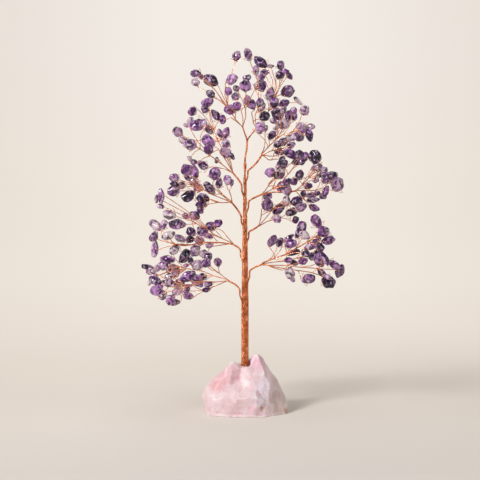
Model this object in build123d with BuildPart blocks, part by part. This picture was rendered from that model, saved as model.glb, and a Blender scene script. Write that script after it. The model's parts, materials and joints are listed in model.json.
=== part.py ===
from build123d import *
import math
import os
import random
import numpy as np

# A little tree of twisted copper wire with tumbled amethyst chips for leaves, standing in a rough
# piece of rose quartz. Each chip is drilled and threaded on a fine wire that is folded and twisted
# to a twig. Twigs join to sprigs, sprigs to branch stems, and a lead from every stem runs down
# through the twisted trunk into the stone. The frame stands on the stone's flat underside, +Z up,
# with the origin below the trunk; the front faces -Y.

# Driving dimensions, in millimetres and degrees.
reach = 80.0                # half the crown's width, and the unit of every share below
wire_diameter = 0.25        # the wire that a chip is threaded on
wire_spacing = 0.40         # between the centres of a twig's two legs
sprig_diameter = 0.80       # strand that carries a handful of twigs
limb_diameter = 1.15        # strand that divides into sprigs far from the trunk
stem_diameter = 1.50        # strand of a whole branch, beside the trunk
lead_diameter = 1.38        # the same strand drawn tight in the trunk's twist
trunk_pitch = 35.0          # height of one turn of the trunk
strand_gap = 0.05           # between strands that lie end to end
pivot_run = 3.2             # upright start of a stem, which it turns about
swing = 6.0                 # how far a branch can be bent sideways either way
socket_depth = 22.0
socket_clearance = 0.55     # room for glue round the trunk's foot
chip_clearance = 0.30       # least space round a chip
swing_clearance = 0.70      # least space to what another branch carries, over the whole swing

# The line of sight along which the chips' places were measured.
view_distance = 1400.0
view_elevation = 7.0
view_centre_shares = (-0.05, 1.74)

# Rough stone: corners broken on it, in rings from the ground up to the trunk. Each ring runs from the
# left round the front, as across, depth and up: on the ground, along the top of the front wall, at the
# back of the ledge, on the lobes and in the hollow between them, on their peaks, round the trunk.
stone_ring_shares = (
    (
        (-0.406, 0.037, 0), (-0.396, -0.15, 0), (-0.325, -0.259, 0), (-0.163, -0.312, 0),
        (0, -0.329, 0), (0.113, -0.328, 0), (0.19, -0.312, 0), (0.412, -0.158, 0), (0.428, 0.05, 0),
        (0.306, 0.237, 0), (0.037, 0.325, 0), (-0.2, 0.287, 0), (-0.362, 0.175, 0),
    ),
    (
        (-0.446, -0.037, 0.136), (-0.391, -0.175, 0.196), (-0.325, -0.281, 0.183),
        (-0.157, -0.325, 0.188), (0.01, -0.325, 0.203), (0.118, -0.316, 0.206), (0.236, -0.256, 0.133),
        (0.425, -0.113, 0.067), (0.428, 0.062, 0.087), (0.312, 0.25, 0.15), (0.037, 0.325, 0.2),
        (-0.212, 0.287, 0.188), (-0.4, 0.163, 0.175),
    ),
    (
        (-0.405, 0, 0.259), (-0.362, -0.125, 0.265), (-0.302, -0.194, 0.259), (-0.158, -0.194, 0.289),
        (-0.02, -0.2, 0.295), (0.108, -0.244, 0.27), (0.252, -0.194, 0.289), (0.364, -0.062, 0.222),
        (0.375, 0.087, 0.237), (0.275, 0.225, 0.275), (0.037, 0.281, 0.312), (-0.175, 0.25, 0.3),
        (-0.35, 0.138, 0.275),
    ),
    (
        (-0.35, 0.025, 0.324), (-0.298, -0.125, 0.35), (-0.228, -0.163, 0.373),
        (-0.139, -0.144, 0.419), (-0.057, -0.119, 0.384), (0.05, -0.144, 0.409),
        (0.199, -0.125, 0.415), (0.295, -0.037, 0.377), (0.281, 0.075, 0.375), (0.2, 0.175, 0.412),
        (0.037, 0.2, 0.412), (-0.138, 0.188, 0.412), (-0.281, 0.1, 0.356),
    ),
    (
        (-0.24, 0.025, 0.41), (-0.195, -0.031, 0.462), (-0.155, -0.05, 0.505), (-0.11, -0.044, 0.522),
        (-0.05, -0.075, 0.463), (0.045, -0.08, 0.481), (0.12, -0.019, 0.595), (0.19, 0.013, 0.549),
        (0.169, 0.087, 0.525), (0.113, 0.119, 0.531), (0.031, 0.113, 0.5), (-0.075, 0.106, 0.485),
        (-0.169, 0.081, 0.46),
    ),
    (
        (-0.062, 0.013, 0.483), (-0.062, -0.006, 0.481), (-0.06, -0.022, 0.48),
        (-0.053, -0.037, 0.476), (-0.03, -0.054, 0.472), (0.036, -0.053, 0.475), (0.062, -0.02, 0.557),
        (0.066, 0.01, 0.565), (0.057, 0.037, 0.545), (0.04, 0.055, 0.525), (0.006, 0.065, 0.5),
        (-0.033, 0.057, 0.49), (-0.055, 0.037, 0.485),
    ),
)
saddle_share = 0.478        # height where the trunk enters the stone

# Where each branch leaves the trunk: side and height.
branch_root_shares = {
    "left_branch_1": (-1, 1.24), "right_branch_1": (1, 1.43),
    "left_branch_2": (-1, 1.64), "right_branch_2": (1, 1.82),
    "left_branch_3": (-1, 1.98), "right_branch_3": (1, 2.13),
    "left_branch_4": (-1, 2.294), "right_branch_4": (1, 2.434),
}
crown_root_share = 2.51
# Strands of each branch: the strand each grows from, its diameter, and its points as across,
# up and depth.
strand_shares = {
    "left_branch_1": (
        ("stem", None, stem_diameter, ((-0.09, 1.292, 0), (-0.165, 1.332, 0))),
        ("upper", "stem", sprig_diameter, ((-0.255, 1.405, -0.18), (-0.315, 1.44, -0.27))),
        ("long", "stem", sprig_diameter, ((-0.31, 1.382, 0.08), (-0.42, 1.427, 0.16), (-0.59, 1.455, 0.22))),
        ("front", "stem", sprig_diameter, ((-0.28, 1.32, -0.06), (-0.42, 1.325, -0.16), (-0.59, 1.28, -0.26))),
        ("low", "stem", sprig_diameter, ((-0.26, 1.295, 0.12), (-0.42, 1.235, 0.26))),
    ),
    "right_branch_1": (
        ("stem", None, stem_diameter, ((0.09, 1.465, 0), (0.175, 1.498, 0))),
        ("upper", "stem", sprig_diameter, ((0.225, 1.53, 0.1), (0.265, 1.562, 0.16))),
        ("long", "stem", limb_diameter, ((0.29, 1.555, -0.06), (0.40, 1.592, -0.12), (0.51, 1.655, -0.17),
                                         (0.62, 1.717, -0.22), (0.71, 1.77, -0.26))),
        ("middle", "stem", sprig_diameter, ((0.30, 1.52, 0.06), (0.40, 1.53, 0.14), (0.52, 1.56, 0.24))),
        ("low", "stem", sprig_diameter, ((0.28, 1.465, -0.1), (0.365, 1.44, -0.2))),
        ("back", "stem", sprig_diameter, ((0.39, 1.455, 0.08), (0.52, 1.437, 0.16), (0.65, 1.418, 0.24),
                                          (0.73, 1.394, 0.28))),
        ("far", "stem", sprig_diameter, ((0.41, 1.485, -0.02), (0.57, 1.466, -0.06), (0.73, 1.457, -0.1))),
    ),
    "left_branch_2": (
        ("stem", None, stem_diameter, ((-0.07, 1.668, 0), (-0.125, 1.702, 0))),
        ("upper", "stem", sprig_diameter, ((-0.18, 1.775, 0.08), (-0.225, 1.83, 0.14))),
        ("middle", "stem", sprig_diameter, (
            (-0.23, 1.755, -0.08), (-0.32, 1.802, -0.16), (-0.395, 1.865, -0.22))),
        ("long", "stem", limb_diameter, ((-0.25, 1.714, 0), (-0.40, 1.717, -0.02), (-0.55, 1.69, -0.05),
                                         (-0.70, 1.698, -0.08))),
        ("low", "stem", sprig_diameter, ((-0.23, 1.69, 0.12), (-0.35, 1.672, 0.24))),
    ),
    "right_branch_2": (
        ("stem", None, stem_diameter, ((0.075, 1.84, 0), (0.135, 1.88, 0))),
        ("upper", "stem", sprig_diameter, ((0.16, 1.965, 0.08), (0.166, 2.045, 0.14))),
        ("middle", "stem", sprig_diameter, ((0.21, 1.965, -0.08), (0.275, 2.04, -0.15), (0.345, 2.11, -0.2))),
        ("low", "stem", sprig_diameter, ((0.22, 1.925, 0.08), (0.295, 1.947, 0.16), (0.37, 1.965, 0.22))),
    ),
    "left_branch_3": (
        ("stem", None, stem_diameter, ((-0.075, 2.045, 0), (-0.13, 2.112, 0))),
        ("upper", "stem", sprig_diameter, ((-0.14, 2.18, -0.1), (-0.16, 2.235, -0.16))),
        ("back", "stem", sprig_diameter, ((-0.20, 2.175, 0.1), (-0.265, 2.245, 0.2))),
        ("middle", "stem", sprig_diameter, ((-0.23, 2.19, 0), (-0.32, 2.27, -0.02))),
        ("long", "stem", sprig_diameter, ((-0.23, 2.155, -0.08), (-0.33, 2.195, -0.16), (-0.42, 2.245, -0.22))),
        ("low", "stem", sprig_diameter, ((-0.24, 2.112, 0.06), (-0.34, 2.145, 0.12))),
    ),
    "right_branch_3": (
        ("stem", None, stem_diameter, ((0.08, 2.157, 0), (0.14, 2.184, 0), (0.18, 2.202, 0))),
        ("upper", "stem", sprig_diameter, ((0.23, 2.275, 0.08), (0.27, 2.335, 0.14))),
        ("middle", "stem", sprig_diameter, ((0.27, 2.245, -0.08), (0.36, 2.31, -0.16), (0.425, 2.395, -0.2))),
        ("limb", "stem", limb_diameter, ((0.30, 2.222, 0.02), (0.42, 2.212, 0), (0.50, 2.23, -0.02))),
        ("high", "limb", sprig_diameter, ((0.57, 2.285, -0.08), (0.64, 2.365, -0.16))),
        ("far", "limb", sprig_diameter, ((0.60, 2.232, 0.06), (0.71, 2.237, 0.12))),
        ("low", "limb", sprig_diameter, ((0.56, 2.17, -0.02), (0.60, 2.135, 0.0))),
    ),
    "left_branch_4": (
        ("stem", None, stem_diameter, ((-0.065, 2.345, 0), (-0.124, 2.414, 0))),
        ("middle", "stem", sprig_diameter, ((-0.18, 2.52, -0.08), (-0.26, 2.64, -0.16))),
        ("high", "stem", sprig_diameter, ((-0.165, 2.54, 0.1), (-0.26, 2.71, 0.18), (-0.31, 2.84, 0.22))),
        ("long", "stem", sprig_diameter, ((-0.21, 2.48, -0.06), (-0.34, 2.58, -0.16), (-0.445, 2.647, -0.22))),
        ("low", "stem", sprig_diameter, ((-0.19, 2.445, 0.1), (-0.29, 2.47, 0.2))),
        ("near", "stem", sprig_diameter, ((-0.14, 2.51, 0.03), (-0.17, 2.59, 0.08))),
    ),
    "right_branch_4": (
        ("stem", None, stem_diameter, ((0.075, 2.47, 0), (0.12, 2.517, 0), (0.165, 2.585, 0))),
        ("near", "stem", sprig_diameter, ((0.185, 2.64, 0.05), (0.195, 2.68, 0.08))),
        ("long", "stem", sprig_diameter, ((0.23, 2.665, -0.06), (0.30, 2.735, -0.12), (0.37, 2.79, -0.17),
                                          (0.46, 2.812, -0.22))),
        ("high", "stem", sprig_diameter, ((0.24, 2.68, 0.08), (0.32, 2.75, 0.14), (0.375, 2.85, 0.2))),
        ("middle", "stem", sprig_diameter, ((0.25, 2.628, 0), (0.31, 2.642, 0.0))),
        ("front", "stem", sprig_diameter, ((0.25, 2.578, -0.1), (0.33, 2.582, -0.18))),
        ("low", "stem", sprig_diameter, ((0.24, 2.537, 0.1), (0.31, 2.547, 0.18))),
    ),
    "crown": (
        ("stem", None, stem_diameter, ((0.016, 2.64, 0), (0.023, 2.737, 0))),
        ("left_limb", "stem", limb_diameter, ((-0.007, 2.82, -0.02), (-0.023, 2.87, -0.03))),
        ("right_limb", "stem", limb_diameter, ((0.07, 2.805, 0.03), (0.11, 2.85, 0.05))),
        ("left_long", "left_limb", sprig_diameter, ((-0.095, 2.945, -0.1), (-0.18, 3.085, -0.2))),
        ("left_low", "left_limb", sprig_diameter, ((-0.085, 2.925, 0.06), (-0.14, 2.965, 0.14))),
        ("left_back", "left_limb", sprig_diameter, ((-0.02, 2.96, 0.08), (-0.04, 3.04, 0.18))),
        ("left_front", "left_limb", sprig_diameter, ((0.008, 2.97, -0.1), (0.005, 3.06, -0.17))),
        ("right_long", "right_limb", sprig_diameter, (
            (0.18, 2.93, 0.12), (0.23, 3.015, 0.18), (0.285, 3.16, 0.22))),
        ("right_front", "right_limb", sprig_diameter, ((0.086, 2.90, -0.04), (0.065, 3.0, -0.12))),
        ("right_high", "right_limb", sprig_diameter, ((0.10, 2.985, 0.06), (0.13, 3.065, 0.08))),
    ),
}
# Chips of each branch and tone: across, up, length, width, and the lean of the length as a share
# of a half turn, turning up to the right from level.
chip_shares = {
    "left_branch_1": {
        "dark": (
            (-0.605, 1.575, 0.15, 0.105, 0.25), (-0.547, 1.54, 0.1, 0.062, -0.36),
            (-0.972, 1.469, 0.125, 0.048, -0.07), (-0.81, 1.322, 0.052, 0.038, -0.11),
            (-0.882, 1.23, 0.12, 0.09, -0.08), (-0.852, 1.267, 0.07, 0.05, 0.11),
            (-0.565, 1.375, 0.15, 0.115, 0.19), (-0.475, 1.335, 0.15, 0.12, -0.28),
            (-0.57, 1.28, 0.085, 0.04, 0.01), (-0.367, 1.298, 0.08, 0.06, 0.06),
            (-0.383, 1.244, 0.09, 0.055, 0.11), (-0.37, 1.567, 0.09, 0.075, 0.22),
        ),
        "violet": (
            (-0.77, 1.546, 0.145, 0.075, 0), (-0.813, 1.483, 0.095, 0.08, 0.17),
            (-0.893, 1.333, 0.135, 0.085, -0.12), (-0.903, 1.382, 0.05, 0.036, 0),
            (-0.743, 1.147, 0.1, 0.085, 0.17), (-0.655, 1.307, 0.105, 0.085, 0.17),
            (-0.674, 1.224, 0.105, 0.075, 0.06), (-0.42, 1.37, 0.095, 0.07, -0.11),
            (-0.58, 1.238, 0.07, 0.055, 0.28), (-0.564, 1.18, 0.105, 0.075, -0.03),
            (-0.27, 1.516, 0.088, 0.083, 0), (-0.385, 1.51, 0.1, 0.087, 0.39),
            (-0.585, 1.487, 0.055, 0.042, 0.08),
        ),
        "pale": (
            (-0.87, 1.466, 0.11, 0.065, 0.39), (-0.94, 1.423, 0.09, 0.06, -0.11),
            (-0.715, 1.43, 0.16, 0.13, 0.44), (-0.763, 1.372, 0.085, 0.06, 0.22),
            (-0.754, 1.314, 0.09, 0.075, 0), (-0.953, 1.32, 0.065, 0.044, 0.33),
            (-0.824, 1.19, 0.09, 0.075, 0.28), (-0.707, 1.118, 0.11, 0.065, 0.03),
            (-0.47, 1.49, 0.105, 0.085, 0),
        ),
    },
    "right_branch_1": {
        "dark": (
            (0.347, 1.717, 0.1, 0.065, 0.33), (0.436, 1.758, 0.11, 0.053, 0.21),
            (0.452, 1.702, 0.12, 0.09, 0.17), (0.48, 1.613, 0.13, 0.055, 0.1),
            (0.53, 1.805, 0.1, 0.05, 0.42), (0.83, 1.734, 0.135, 0.08, 0.06),
            (0.75, 1.675, 0.095, 0.07, -0.06), (0.735, 1.625, 0.11, 0.07, 0.11),
            (0.61, 1.605, 0.093, 0.07, 0), (0.674, 1.575, 0.09, 0.072, -0.17),
            (0.743, 1.53, 0.135, 0.09, -0.31), (0.834, 1.322, 0.14, 0.125, -0.11),
            (0.763, 1.414, 0.105, 0.055, -0.25), (0.485, 1.515, 0.095, 0.05, -0.08),
        ),
        "violet": (
            (0.565, 1.86, 0.12, 0.08, 0.39), (0.715, 1.925, 0.13, 0.085, -0.36),
            (0.784, 1.823, 0.125, 0.1, -0.39), (0.665, 1.682, 0.17, 0.08, 0.12),
            (0.8, 1.555, 0.14, 0.06, -0.36), (0.58, 1.53, 0.085, 0.075, 0),
            (0.89, 1.494, 0.125, 0.08, -0.17), (0.82, 1.375, 0.085, 0.05, -0.11),
            (0.635, 1.35, 0.135, 0.095, 0.06), (0.428, 1.54, 0.09, 0.05, 0.08),
        ),
        "pale": (
            (0.27, 1.727, 0.14, 0.087, 0.36), (0.59, 1.787, 0.11, 0.085, -0.17),
            (0.718, 1.75, 0.09, 0.065, 0.19), (0.947, 1.428, 0.14, 0.085, 0.38),
            (0.447, 1.412, 0.11, 0.09, 0.44), (0.473, 1.347, 0.063, 0.043, -0.33),
        ),
    },
    "left_branch_2": {
        "dark": (
            (-0.59, 1.98, 0.085, 0.06, -0.08), (-0.5, 1.984, 0.1, 0.083, -0.17),
            (-0.547, 1.747, 0.095, 0.063, 0.06), (-0.427, 1.83, 0.11, 0.095, 0.17),
            (-0.34, 1.877, 0.105, 0.095, 0.17), (-0.272, 1.905, 0.085, 0.07, 0.08),
        ),
        "violet": (
            (-0.837, 2.18, 0.14, 0.068, 0.49), (-0.844, 2.077, 0.065, 0.048, -0.08),
            (-0.674, 1.897, 0.17, 0.1, -0.03), (-0.814, 1.895, 0.09, 0.063, 0.42),
            (-0.537, 1.823, 0.1, 0.085, 0.44), (-0.367, 1.782, 0.095, 0.06, -0.06),
            (-0.452, 1.732, 0.093, 0.083, 0.33), (-0.9, 1.65, 0.16, 0.064, 0.48),
            (-0.352, 1.69, 0.08, 0.063, 0.17),
        ),
        "pale": (
            (-0.884, 2.15, 0.08, 0.038, 0.49), (-0.757, 1.99, 0.12, 0.085, -0.07),
            (-0.892, 1.885, 0.15, 0.095, -0.19), (-0.91, 1.773, 0.105, 0.08, 0.31),
            (-0.765, 1.785, 0.13, 0.085, 0.17), (-0.647, 1.754, 0.115, 0.068, -0.11),
            (-0.704, 1.644, 0.115, 0.092, 0.22), (-0.497, 1.636, 0.115, 0.098, 0.06),
            (-0.413, 1.604, 0.09, 0.073, -0.17),
        ),
    },
    "right_branch_2": {
        "dark": (
            (0.335, 2.05, 0.15, 0.09, 0.25), (0.465, 2.02, 0.135, 0.085, 0.11),
        ),
        "violet": (
            (0.223, 2.18, 0.1, 0.07, 0.08), (0.32, 1.953, 0.087, 0.07, -0.22),
            (0.505, 1.942, 0.077, 0.063, 0.11), (0.51, 2.125, 0.12, 0.09, 0.11),
        ),
        "pale": (
            (0.228, 2.087, 0.125, 0.105, -0.33), (0.555, 2.065, 0.12, 0.095, 0.17),
            (0.415, 2.13, 0.1, 0.065, 0.42),
        ),
    },
    "left_branch_3": {
        "dark": (
            (-0.504, 2.425, 0.13, 0.07, -0.36), (-0.578, 2.365, 0.08, 0.05, -0.28),
            (-0.302, 2.4, 0.125, 0.108, 0.39), (-0.47, 2.26, 0.09, 0.075, 0.17),
            (-0.705, 2.3, 0.09, 0.055, -0.11), (-0.564, 2.18, 0.135, 0.1, 0.14),
            (-0.417, 2.16, 0.145, 0.075, -0.03),
        ),
        "violet": (
            (-0.582, 2.44, 0.13, 0.11, 0.33), (-0.26, 2.305, 0.095, 0.07, 0.44),
            (-0.172, 2.335, 0.1, 0.08, 0.44), (-0.353, 2.253, 0.18, 0.088, -0.28),
            (-0.706, 2.362, 0.09, 0.08, 0.33), (-0.713, 2.227, 0.11, 0.1, -0.22),
            (-0.435, 2.095, 0.11, 0.065, -0.03), (-0.448, 2.047, 0.09, 0.06, -0.28),
        ),
        "pale": (
            (-0.51, 2.33, 0.105, 0.085, -0.33), (-0.132, 2.31, 0.065, 0.038, 0.47),
            (-0.637, 2.287, 0.085, 0.07, 0.11),
        ),
    },
    "right_branch_3": {
        "dark": (
            (0.54, 2.59, 0.1, 0.075, 0.44), (0.515, 2.52, 0.1, 0.07, 0.08),
            (0.568, 2.52, 0.068, 0.06, 0), (0.375, 2.505, 0.11, 0.095, 0.42),
            (0.7, 2.565, 0.14, 0.115, 0.44), (0.258, 2.415, 0.11, 0.09, -0.19),
            (0.315, 2.385, 0.075, 0.05, 0.39), (0.43, 2.32, 0.08, 0.055, 0.39),
            (0.49, 2.325, 0.08, 0.065, 0.17), (0.435, 2.23, 0.11, 0.06, 0.47),
            (0.585, 2.2, 0.085, 0.065, 0.44), (0.665, 2.188, 0.13, 0.046, 0.03),
            (0.682, 2.14, 0.125, 0.06, 0.04), (0.687, 2.064, 0.115, 0.06, -0.14),
            (0.723, 2.207, 0.062, 0.042, 0.11), (0.805, 2.225, 0.11, 0.065, 0.42),
        ),
        "violet": (
            (0.545, 2.388, 0.11, 0.087, 0.47), (0.69, 2.46, 0.065, 0.046, 0.17),
            (0.78, 2.397, 0.085, 0.07, 0.11), (0.873, 2.38, 0.12, 0.08, -0.11),
            (0.923, 2.295, 0.15, 0.125, 0.33), (0.81, 2.33, 0.11, 0.07, -0.06),
            (0.707, 2.338, 0.062, 0.05, 0), (0.35, 2.27, 0.11, 0.065, 0.44),
            (0.403, 2.275, 0.15, 0.08, 0.48), (0.628, 2.28, 0.095, 0.07, 0.08),
            (0.78, 2.18, 0.08, 0.073, 0.22),
        ),
        "pale": (
            (0.326, 2.475, 0.08, 0.05, 0.44), (0.36, 2.405, 0.11, 0.08, 0.47),
            (0.735, 2.453, 0.075, 0.065, 0), (0.747, 2.483, 0.055, 0.04, -0.11),
            (0.792, 2.44, 0.07, 0.063, 0), (0.725, 2.375, 0.065, 0.05, 0.28),
        ),
    },
    "left_branch_4": {
        "dark": (
            (-0.375, 3.112, 0.12, 0.09, 0.11), (-0.4, 3.045, 0.085, 0.07, -0.11),
            (-0.47, 2.89, 0.15, 0.102, 0.11), (-0.366, 2.725, 0.135, 0.09, -0.23),
            (-0.134, 2.58, 0.08, 0.048, -0.31),
        ),
        "violet": (
            (-0.525, 3.03, 0.09, 0.073, 0.14), (-0.29, 2.99, 0.13, 0.08, -0.28),
            (-0.41, 2.91, 0.08, 0.046, 0.48),
            (-0.363, 2.645, 0.105, 0.085, -0.22), (-0.247, 2.802, 0.1, 0.06, -0.33),
            (-0.192, 2.808, 0.12, 0.06, 0.44), (-0.19, 2.702, 0.09, 0.075, -0.17),
            (-0.188, 2.61, 0.13, 0.085, -0.22), (-0.546, 2.695, 0.125, 0.11, -0.25),
            (-0.42, 2.485, 0.12, 0.08, -0.11), (-0.51, 2.52, 0.07, 0.055, -0.11),
        ),
        "pale": (
            (-0.547, 2.925, 0.09, 0.07, 0.33), (-0.59, 2.887, 0.048, 0.036, -0.17),
            (-0.36, 2.845, 0.12, 0.065, -0.25), (-0.614, 2.738, 0.1, 0.075, -0.17),
            (-0.67, 2.82, 0.105, 0.093, 0.17), (-0.28, 2.537, 0.06, 0.044, 0.44),
            (-0.552, 2.553, 0.06, 0.045, -0.22),
        ),
    },
    "right_branch_4": {
        "dark": (
            (0.327, 3, 0.13, 0.115, -0.28), (0.437, 2.985, 0.1, 0.07, 0.44),
            (0.492, 2.97, 0.075, 0.05, 0.44), (0.322, 2.694, 0.09, 0.07, 0.19),
            (0.353, 2.626, 0.12, 0.07, 0.03), (0.448, 2.604, 0.14, 0.08, -0.14),
            (0.59, 2.57, 0.1, 0.08, 0.22), (0.57, 2.83, 0.12, 0.04, 0),
            (0.643, 2.79, 0.128, 0.08, -0.42), (0.373, 2.554, 0.07, 0.055, 0.11),
        ),
        "violet": (
            (0.15, 2.862, 0.12, 0.09, 0.44), (0.27, 2.788, 0.115, 0.068, 0.28),
            (0.486, 3.03, 0.075, 0.065, 0), (0.46, 2.688, 0.09, 0.06, 0.08),
            (0.487, 2.775, 0.08, 0.06, 0.39),
        ),
        "pale": (
            (0.598, 3.036, 0.095, 0.085, -0.11),
            (0.208, 2.852, 0.07, 0.045, 0.44), (0.385, 3.035, 0.08, 0.06, 0.39),
            (0.287, 2.93, 0.08, 0.06, -0.22), (0.378, 2.896, 0.14, 0.105, 0.08),
            (0.31, 2.86, 0.062, 0.045, 0.11), (0.376, 2.72, 0.09, 0.075, 0.06),
            (0.443, 2.76, 0.08, 0.07, 0.17), (0.542, 2.77, 0.1, 0.09, 0.28),
            (0.555, 2.882, 0.1, 0.06, 0.14), (0.645, 2.872, 0.105, 0.058, 0.02),
        ),
    },
    "crown": {
        "dark": (
            (-0.34, 3.335, 0.15, 0.11, -0.19), (-0.22, 2.945, 0.09, 0.06, 0.49),
            (-0.15, 3.045, 0.11, 0.09, -0.17), (-0.165, 3.225, 0.095, 0.07, 0.44),
            (0.005, 3.28, 0.12, 0.105, 0.25), (0.022, 3.135, 0.095, 0.075, 0.39),
            (0.066, 3.093, 0.11, 0.08, -0.33), (0.157, 3.52, 0.155, 0.085, -0.22),
            (0.295, 3.11, 0.1, 0.08, 0.44), (0.356, 3.487, 0.098, 0.073, 0.47),
            (0.4, 3.427, 0.08, 0.04, 0.02), (0.195, 2.977, 0.105, 0.09, -0.39),
        ),
        "violet": (
            (-0.44, 3.375, 0.055, 0.048, 0), (-0.342, 3.197, 0.1, 0.065, -0.25),
            (-0.08, 3.075, 0.105, 0.07, 0.47),
            (-0.135, 3.345, 0.13, 0.09, 0.17), (0.02, 3.36, 0.08, 0.06, 0.06),
            (0.11, 3.435, 0.11, 0.065, 0.48), (0.195, 3.415, 0.09, 0.07, 0.08),
            (0.16, 3.365, 0.095, 0.065, 0.33), (0.173, 3.28, 0.11, 0.085, 0.44),
            (0.15, 3.11, 0.085, 0.075, -0.06), (0.248, 3.2, 0.13, 0.08, 0.42),
            (0.35, 3.39, 0.09, 0.075, 0.22), (0.39, 3.11, 0.105, 0.08, 0.11),
        ),
        "pale": (
            (-0.495, 3.405, 0.1, 0.07, -0.06), (-0.495, 3.315, 0.08, 0.065, -0.33),
            (-0.095, 3.175, 0.085, 0.075, -0.11), (-0.085, 3.255, 0.07, 0.06, 0.17),
            (-0.085, 3.577, 0.098, 0.09, 0.11), (0.032, 3.597, 0.125, 0.078, -0.42),
            (0.126, 3.285, 0.095, 0.07, 0.33), (0.168, 3.062, 0.1, 0.06, 0.28),
            (0.258, 3.478, 0.07, 0.042, 0.08), (0.443, 3.382, 0.09, 0.055, -0.33),
            (0.423, 3.224, 0.13, 0.11, 0.22), (0.53, 3.13, 0.11, 0.046, -0.33),
        ),
    },
}
chip_tones = ("dark", "violet", "pale")
steepest_tip = 0.7          # most that a chip tips forward or back, as a slope
corner_share = 0.54         # of its width, from a chip's middle line to its furthest corners
chip_swell = 0.15
twig_swell = 0.15

# Chips are broken to a few kinds, each made once and then turned and sized: half the thickness
# along the bore, half the width and half the length towards the tip, for a chip of unit length.
chip_widths = (0.42, 0.58, 0.72, 0.88)
thickness_share = 0.78      # of the width
small_chip = 5.6            # length of the small kinds as they are cut
large_chip = 9.6
small_bore = 0.75
large_bore = 0.95
chip_split = 6.8            # chips longer than this are of the large kinds
bore_share = -0.45          # of the half length, so towards the foot
chip_depth_shares = (0.88, 0.98)
foot_gap = 0.9              # from a chip's foot to where its wire closes
mouth_gap = 0.38            # from a chip's side to its wire's bend
mouth_bend = 0.28
foot_bend = 0.8
twig_bend = 6.0
launch = 0.9                # straight start of a twig
launch_lean_share = 0.5     # of that start, outward
bulge_shares = (0.1, 0.0, 0.2, -0.1, 0.3, 0.45, 0.6)
bulge_turns = (0, 40, -40, 80, -80, 120, -120, 160, -160, 20, -20, 60, -60, 100, -100, 140, -140, 180)
sure_gap = 0.05             # least space between a twig's wire and anything else
own_give = 0.1              # how much nearer its own chip's foot a wire may pass
sample_step = 0.5


def unit(vector):
    """The vector at length one."""
    return vector / np.linalg.norm(vector)


parallel = 1e-6
any_way = (0.3, 0.9, 0.31)


def across_of(vector, axis):
    """The part of a vector that is square to an axis, at length one."""
    rest = vector - axis * np.dot(vector, axis)
    size = np.linalg.norm(rest)
    if size < parallel:
        rest = np.cross(axis, any_way)
        size = np.linalg.norm(rest)
    return rest / size


def seen_at(across, up, depth):
    """The point at a depth that is seen at a place, given across and up in shares."""
    rise = math.radians(view_elevation)
    ahead = np.array((0, math.cos(rise), -math.sin(rise)))
    upward = np.array((0, math.sin(rise), math.cos(rise)))
    aim = np.array((view_centre_shares[0] * reach, 0, view_centre_shares[1] * reach))
    eye = aim - ahead * view_distance
    ray = ahead * view_distance + upward * (up * reach - aim[2])
    ray[0] += across * reach - aim[0]
    return eye + ray * (depth - eye[1]) / ray[1]


def turned(points, degrees):
    """Points turned about the trunk's axis."""
    angle = math.radians(degrees)
    turn = np.array(((math.cos(angle), -math.sin(angle), 0), (math.sin(angle), math.cos(angle), 0), (0, 0, 1)))
    return points @ turn.T


tiny = 1e-9                 # keeps a division from zero


def segment_gaps(start_a, end_a, start_b, end_b):
    """Distances between every segment of one set and every segment of another."""
    a0 = start_a[:, None, :]
    b0 = start_b[None, :, :]
    along_a = (end_a - start_a)[:, None, :]
    along_b = (end_b - start_b)[None, :, :]
    between = a0 - b0
    aa = np.sum(along_a * along_a, axis=2) + tiny
    bb = np.sum(along_b * along_b, axis=2) + tiny
    ab = np.sum(along_a * along_b, axis=2)
    a_gap = np.sum(along_a * between, axis=2)
    b_gap = np.sum(along_b * between, axis=2)
    spread = np.maximum(aa * bb - ab * ab, tiny)
    share_a = np.clip((ab * b_gap - a_gap * bb) / spread, 0, 1)
    share_b = np.clip((ab * share_a + b_gap) / bb, 0, 1)
    share_a = np.clip((ab * share_b - a_gap) / aa, 0, 1)
    apart = between + along_a * share_a[:, :, None] - along_b * share_b[:, :, None]
    return np.linalg.norm(apart, axis=2)


bend_share = 0.45           # of a run that a bend may take


def bend_radii(points, largest):
    """Radii for the corners of a path, each as large as its two runs allow, up to a limit."""
    radii = []
    for before, corner, after in zip(points, points[1:], points[2:]):
        run_in = corner - before
        run_out = after - corner
        cosine = np.dot(unit(run_in), unit(run_out))
        turn = math.acos(max(-1.0, min(1.0, cosine)))
        shorter = min(np.linalg.norm(run_in), np.linalg.norm(run_out))
        radii.append(min(largest, bend_share * shorter / math.tan(max(turn, tiny) / 2)))
    return radii


def without_straights(points, least_turn=1.0):
    """The points of a path, less those where it hardly turns."""
    kept = [points[0]]
    for corner, after in zip(points[1:], points[2:]):
        cosine = np.dot(unit(corner - kept[-1]), unit(after - corner))
        if cosine < math.cos(math.radians(least_turn)):
            kept.append(corner)
    kept.append(points[-1])
    return kept


bend_samples = (0, 0.25, 0.5, 0.75, 1)


def samples(corners, radii):
    """Points along a path with rounded corners."""
    points = [corners[0]]
    for before, corner, after, radius in zip(corners, corners[1:], corners[2:], radii):
        ahead = unit(corner - before)
        leaving = unit(after - corner)
        turn = math.acos(max(-1.0, min(1.0, np.dot(ahead, leaving))))
        tangent = radius * math.tan(turn / 2)
        centre = corner + unit(leaving - ahead) * radius / math.cos(turn / 2)
        first = corner - ahead * tangent - centre
        last = corner + leaving * tangent - centre
        for share in bend_samples:
            mixed = first * math.sin((1 - share) * turn) + last * math.sin(share * turn)
            points.append(centre + mixed / math.sin(turn))
    points.append(corners[-1])
    return np.array(points)


def closer(points):
    """The same path with points at least every sample step."""
    filled = [points[0]]
    for before, after in zip(points, points[1:]):
        count = math.ceil(np.linalg.norm(after - before) / sample_step)
        filled += [before + (after - before) * (index + 1) / count for index in range(count)]
    return np.array(filled)


sweep_errors = []


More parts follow.
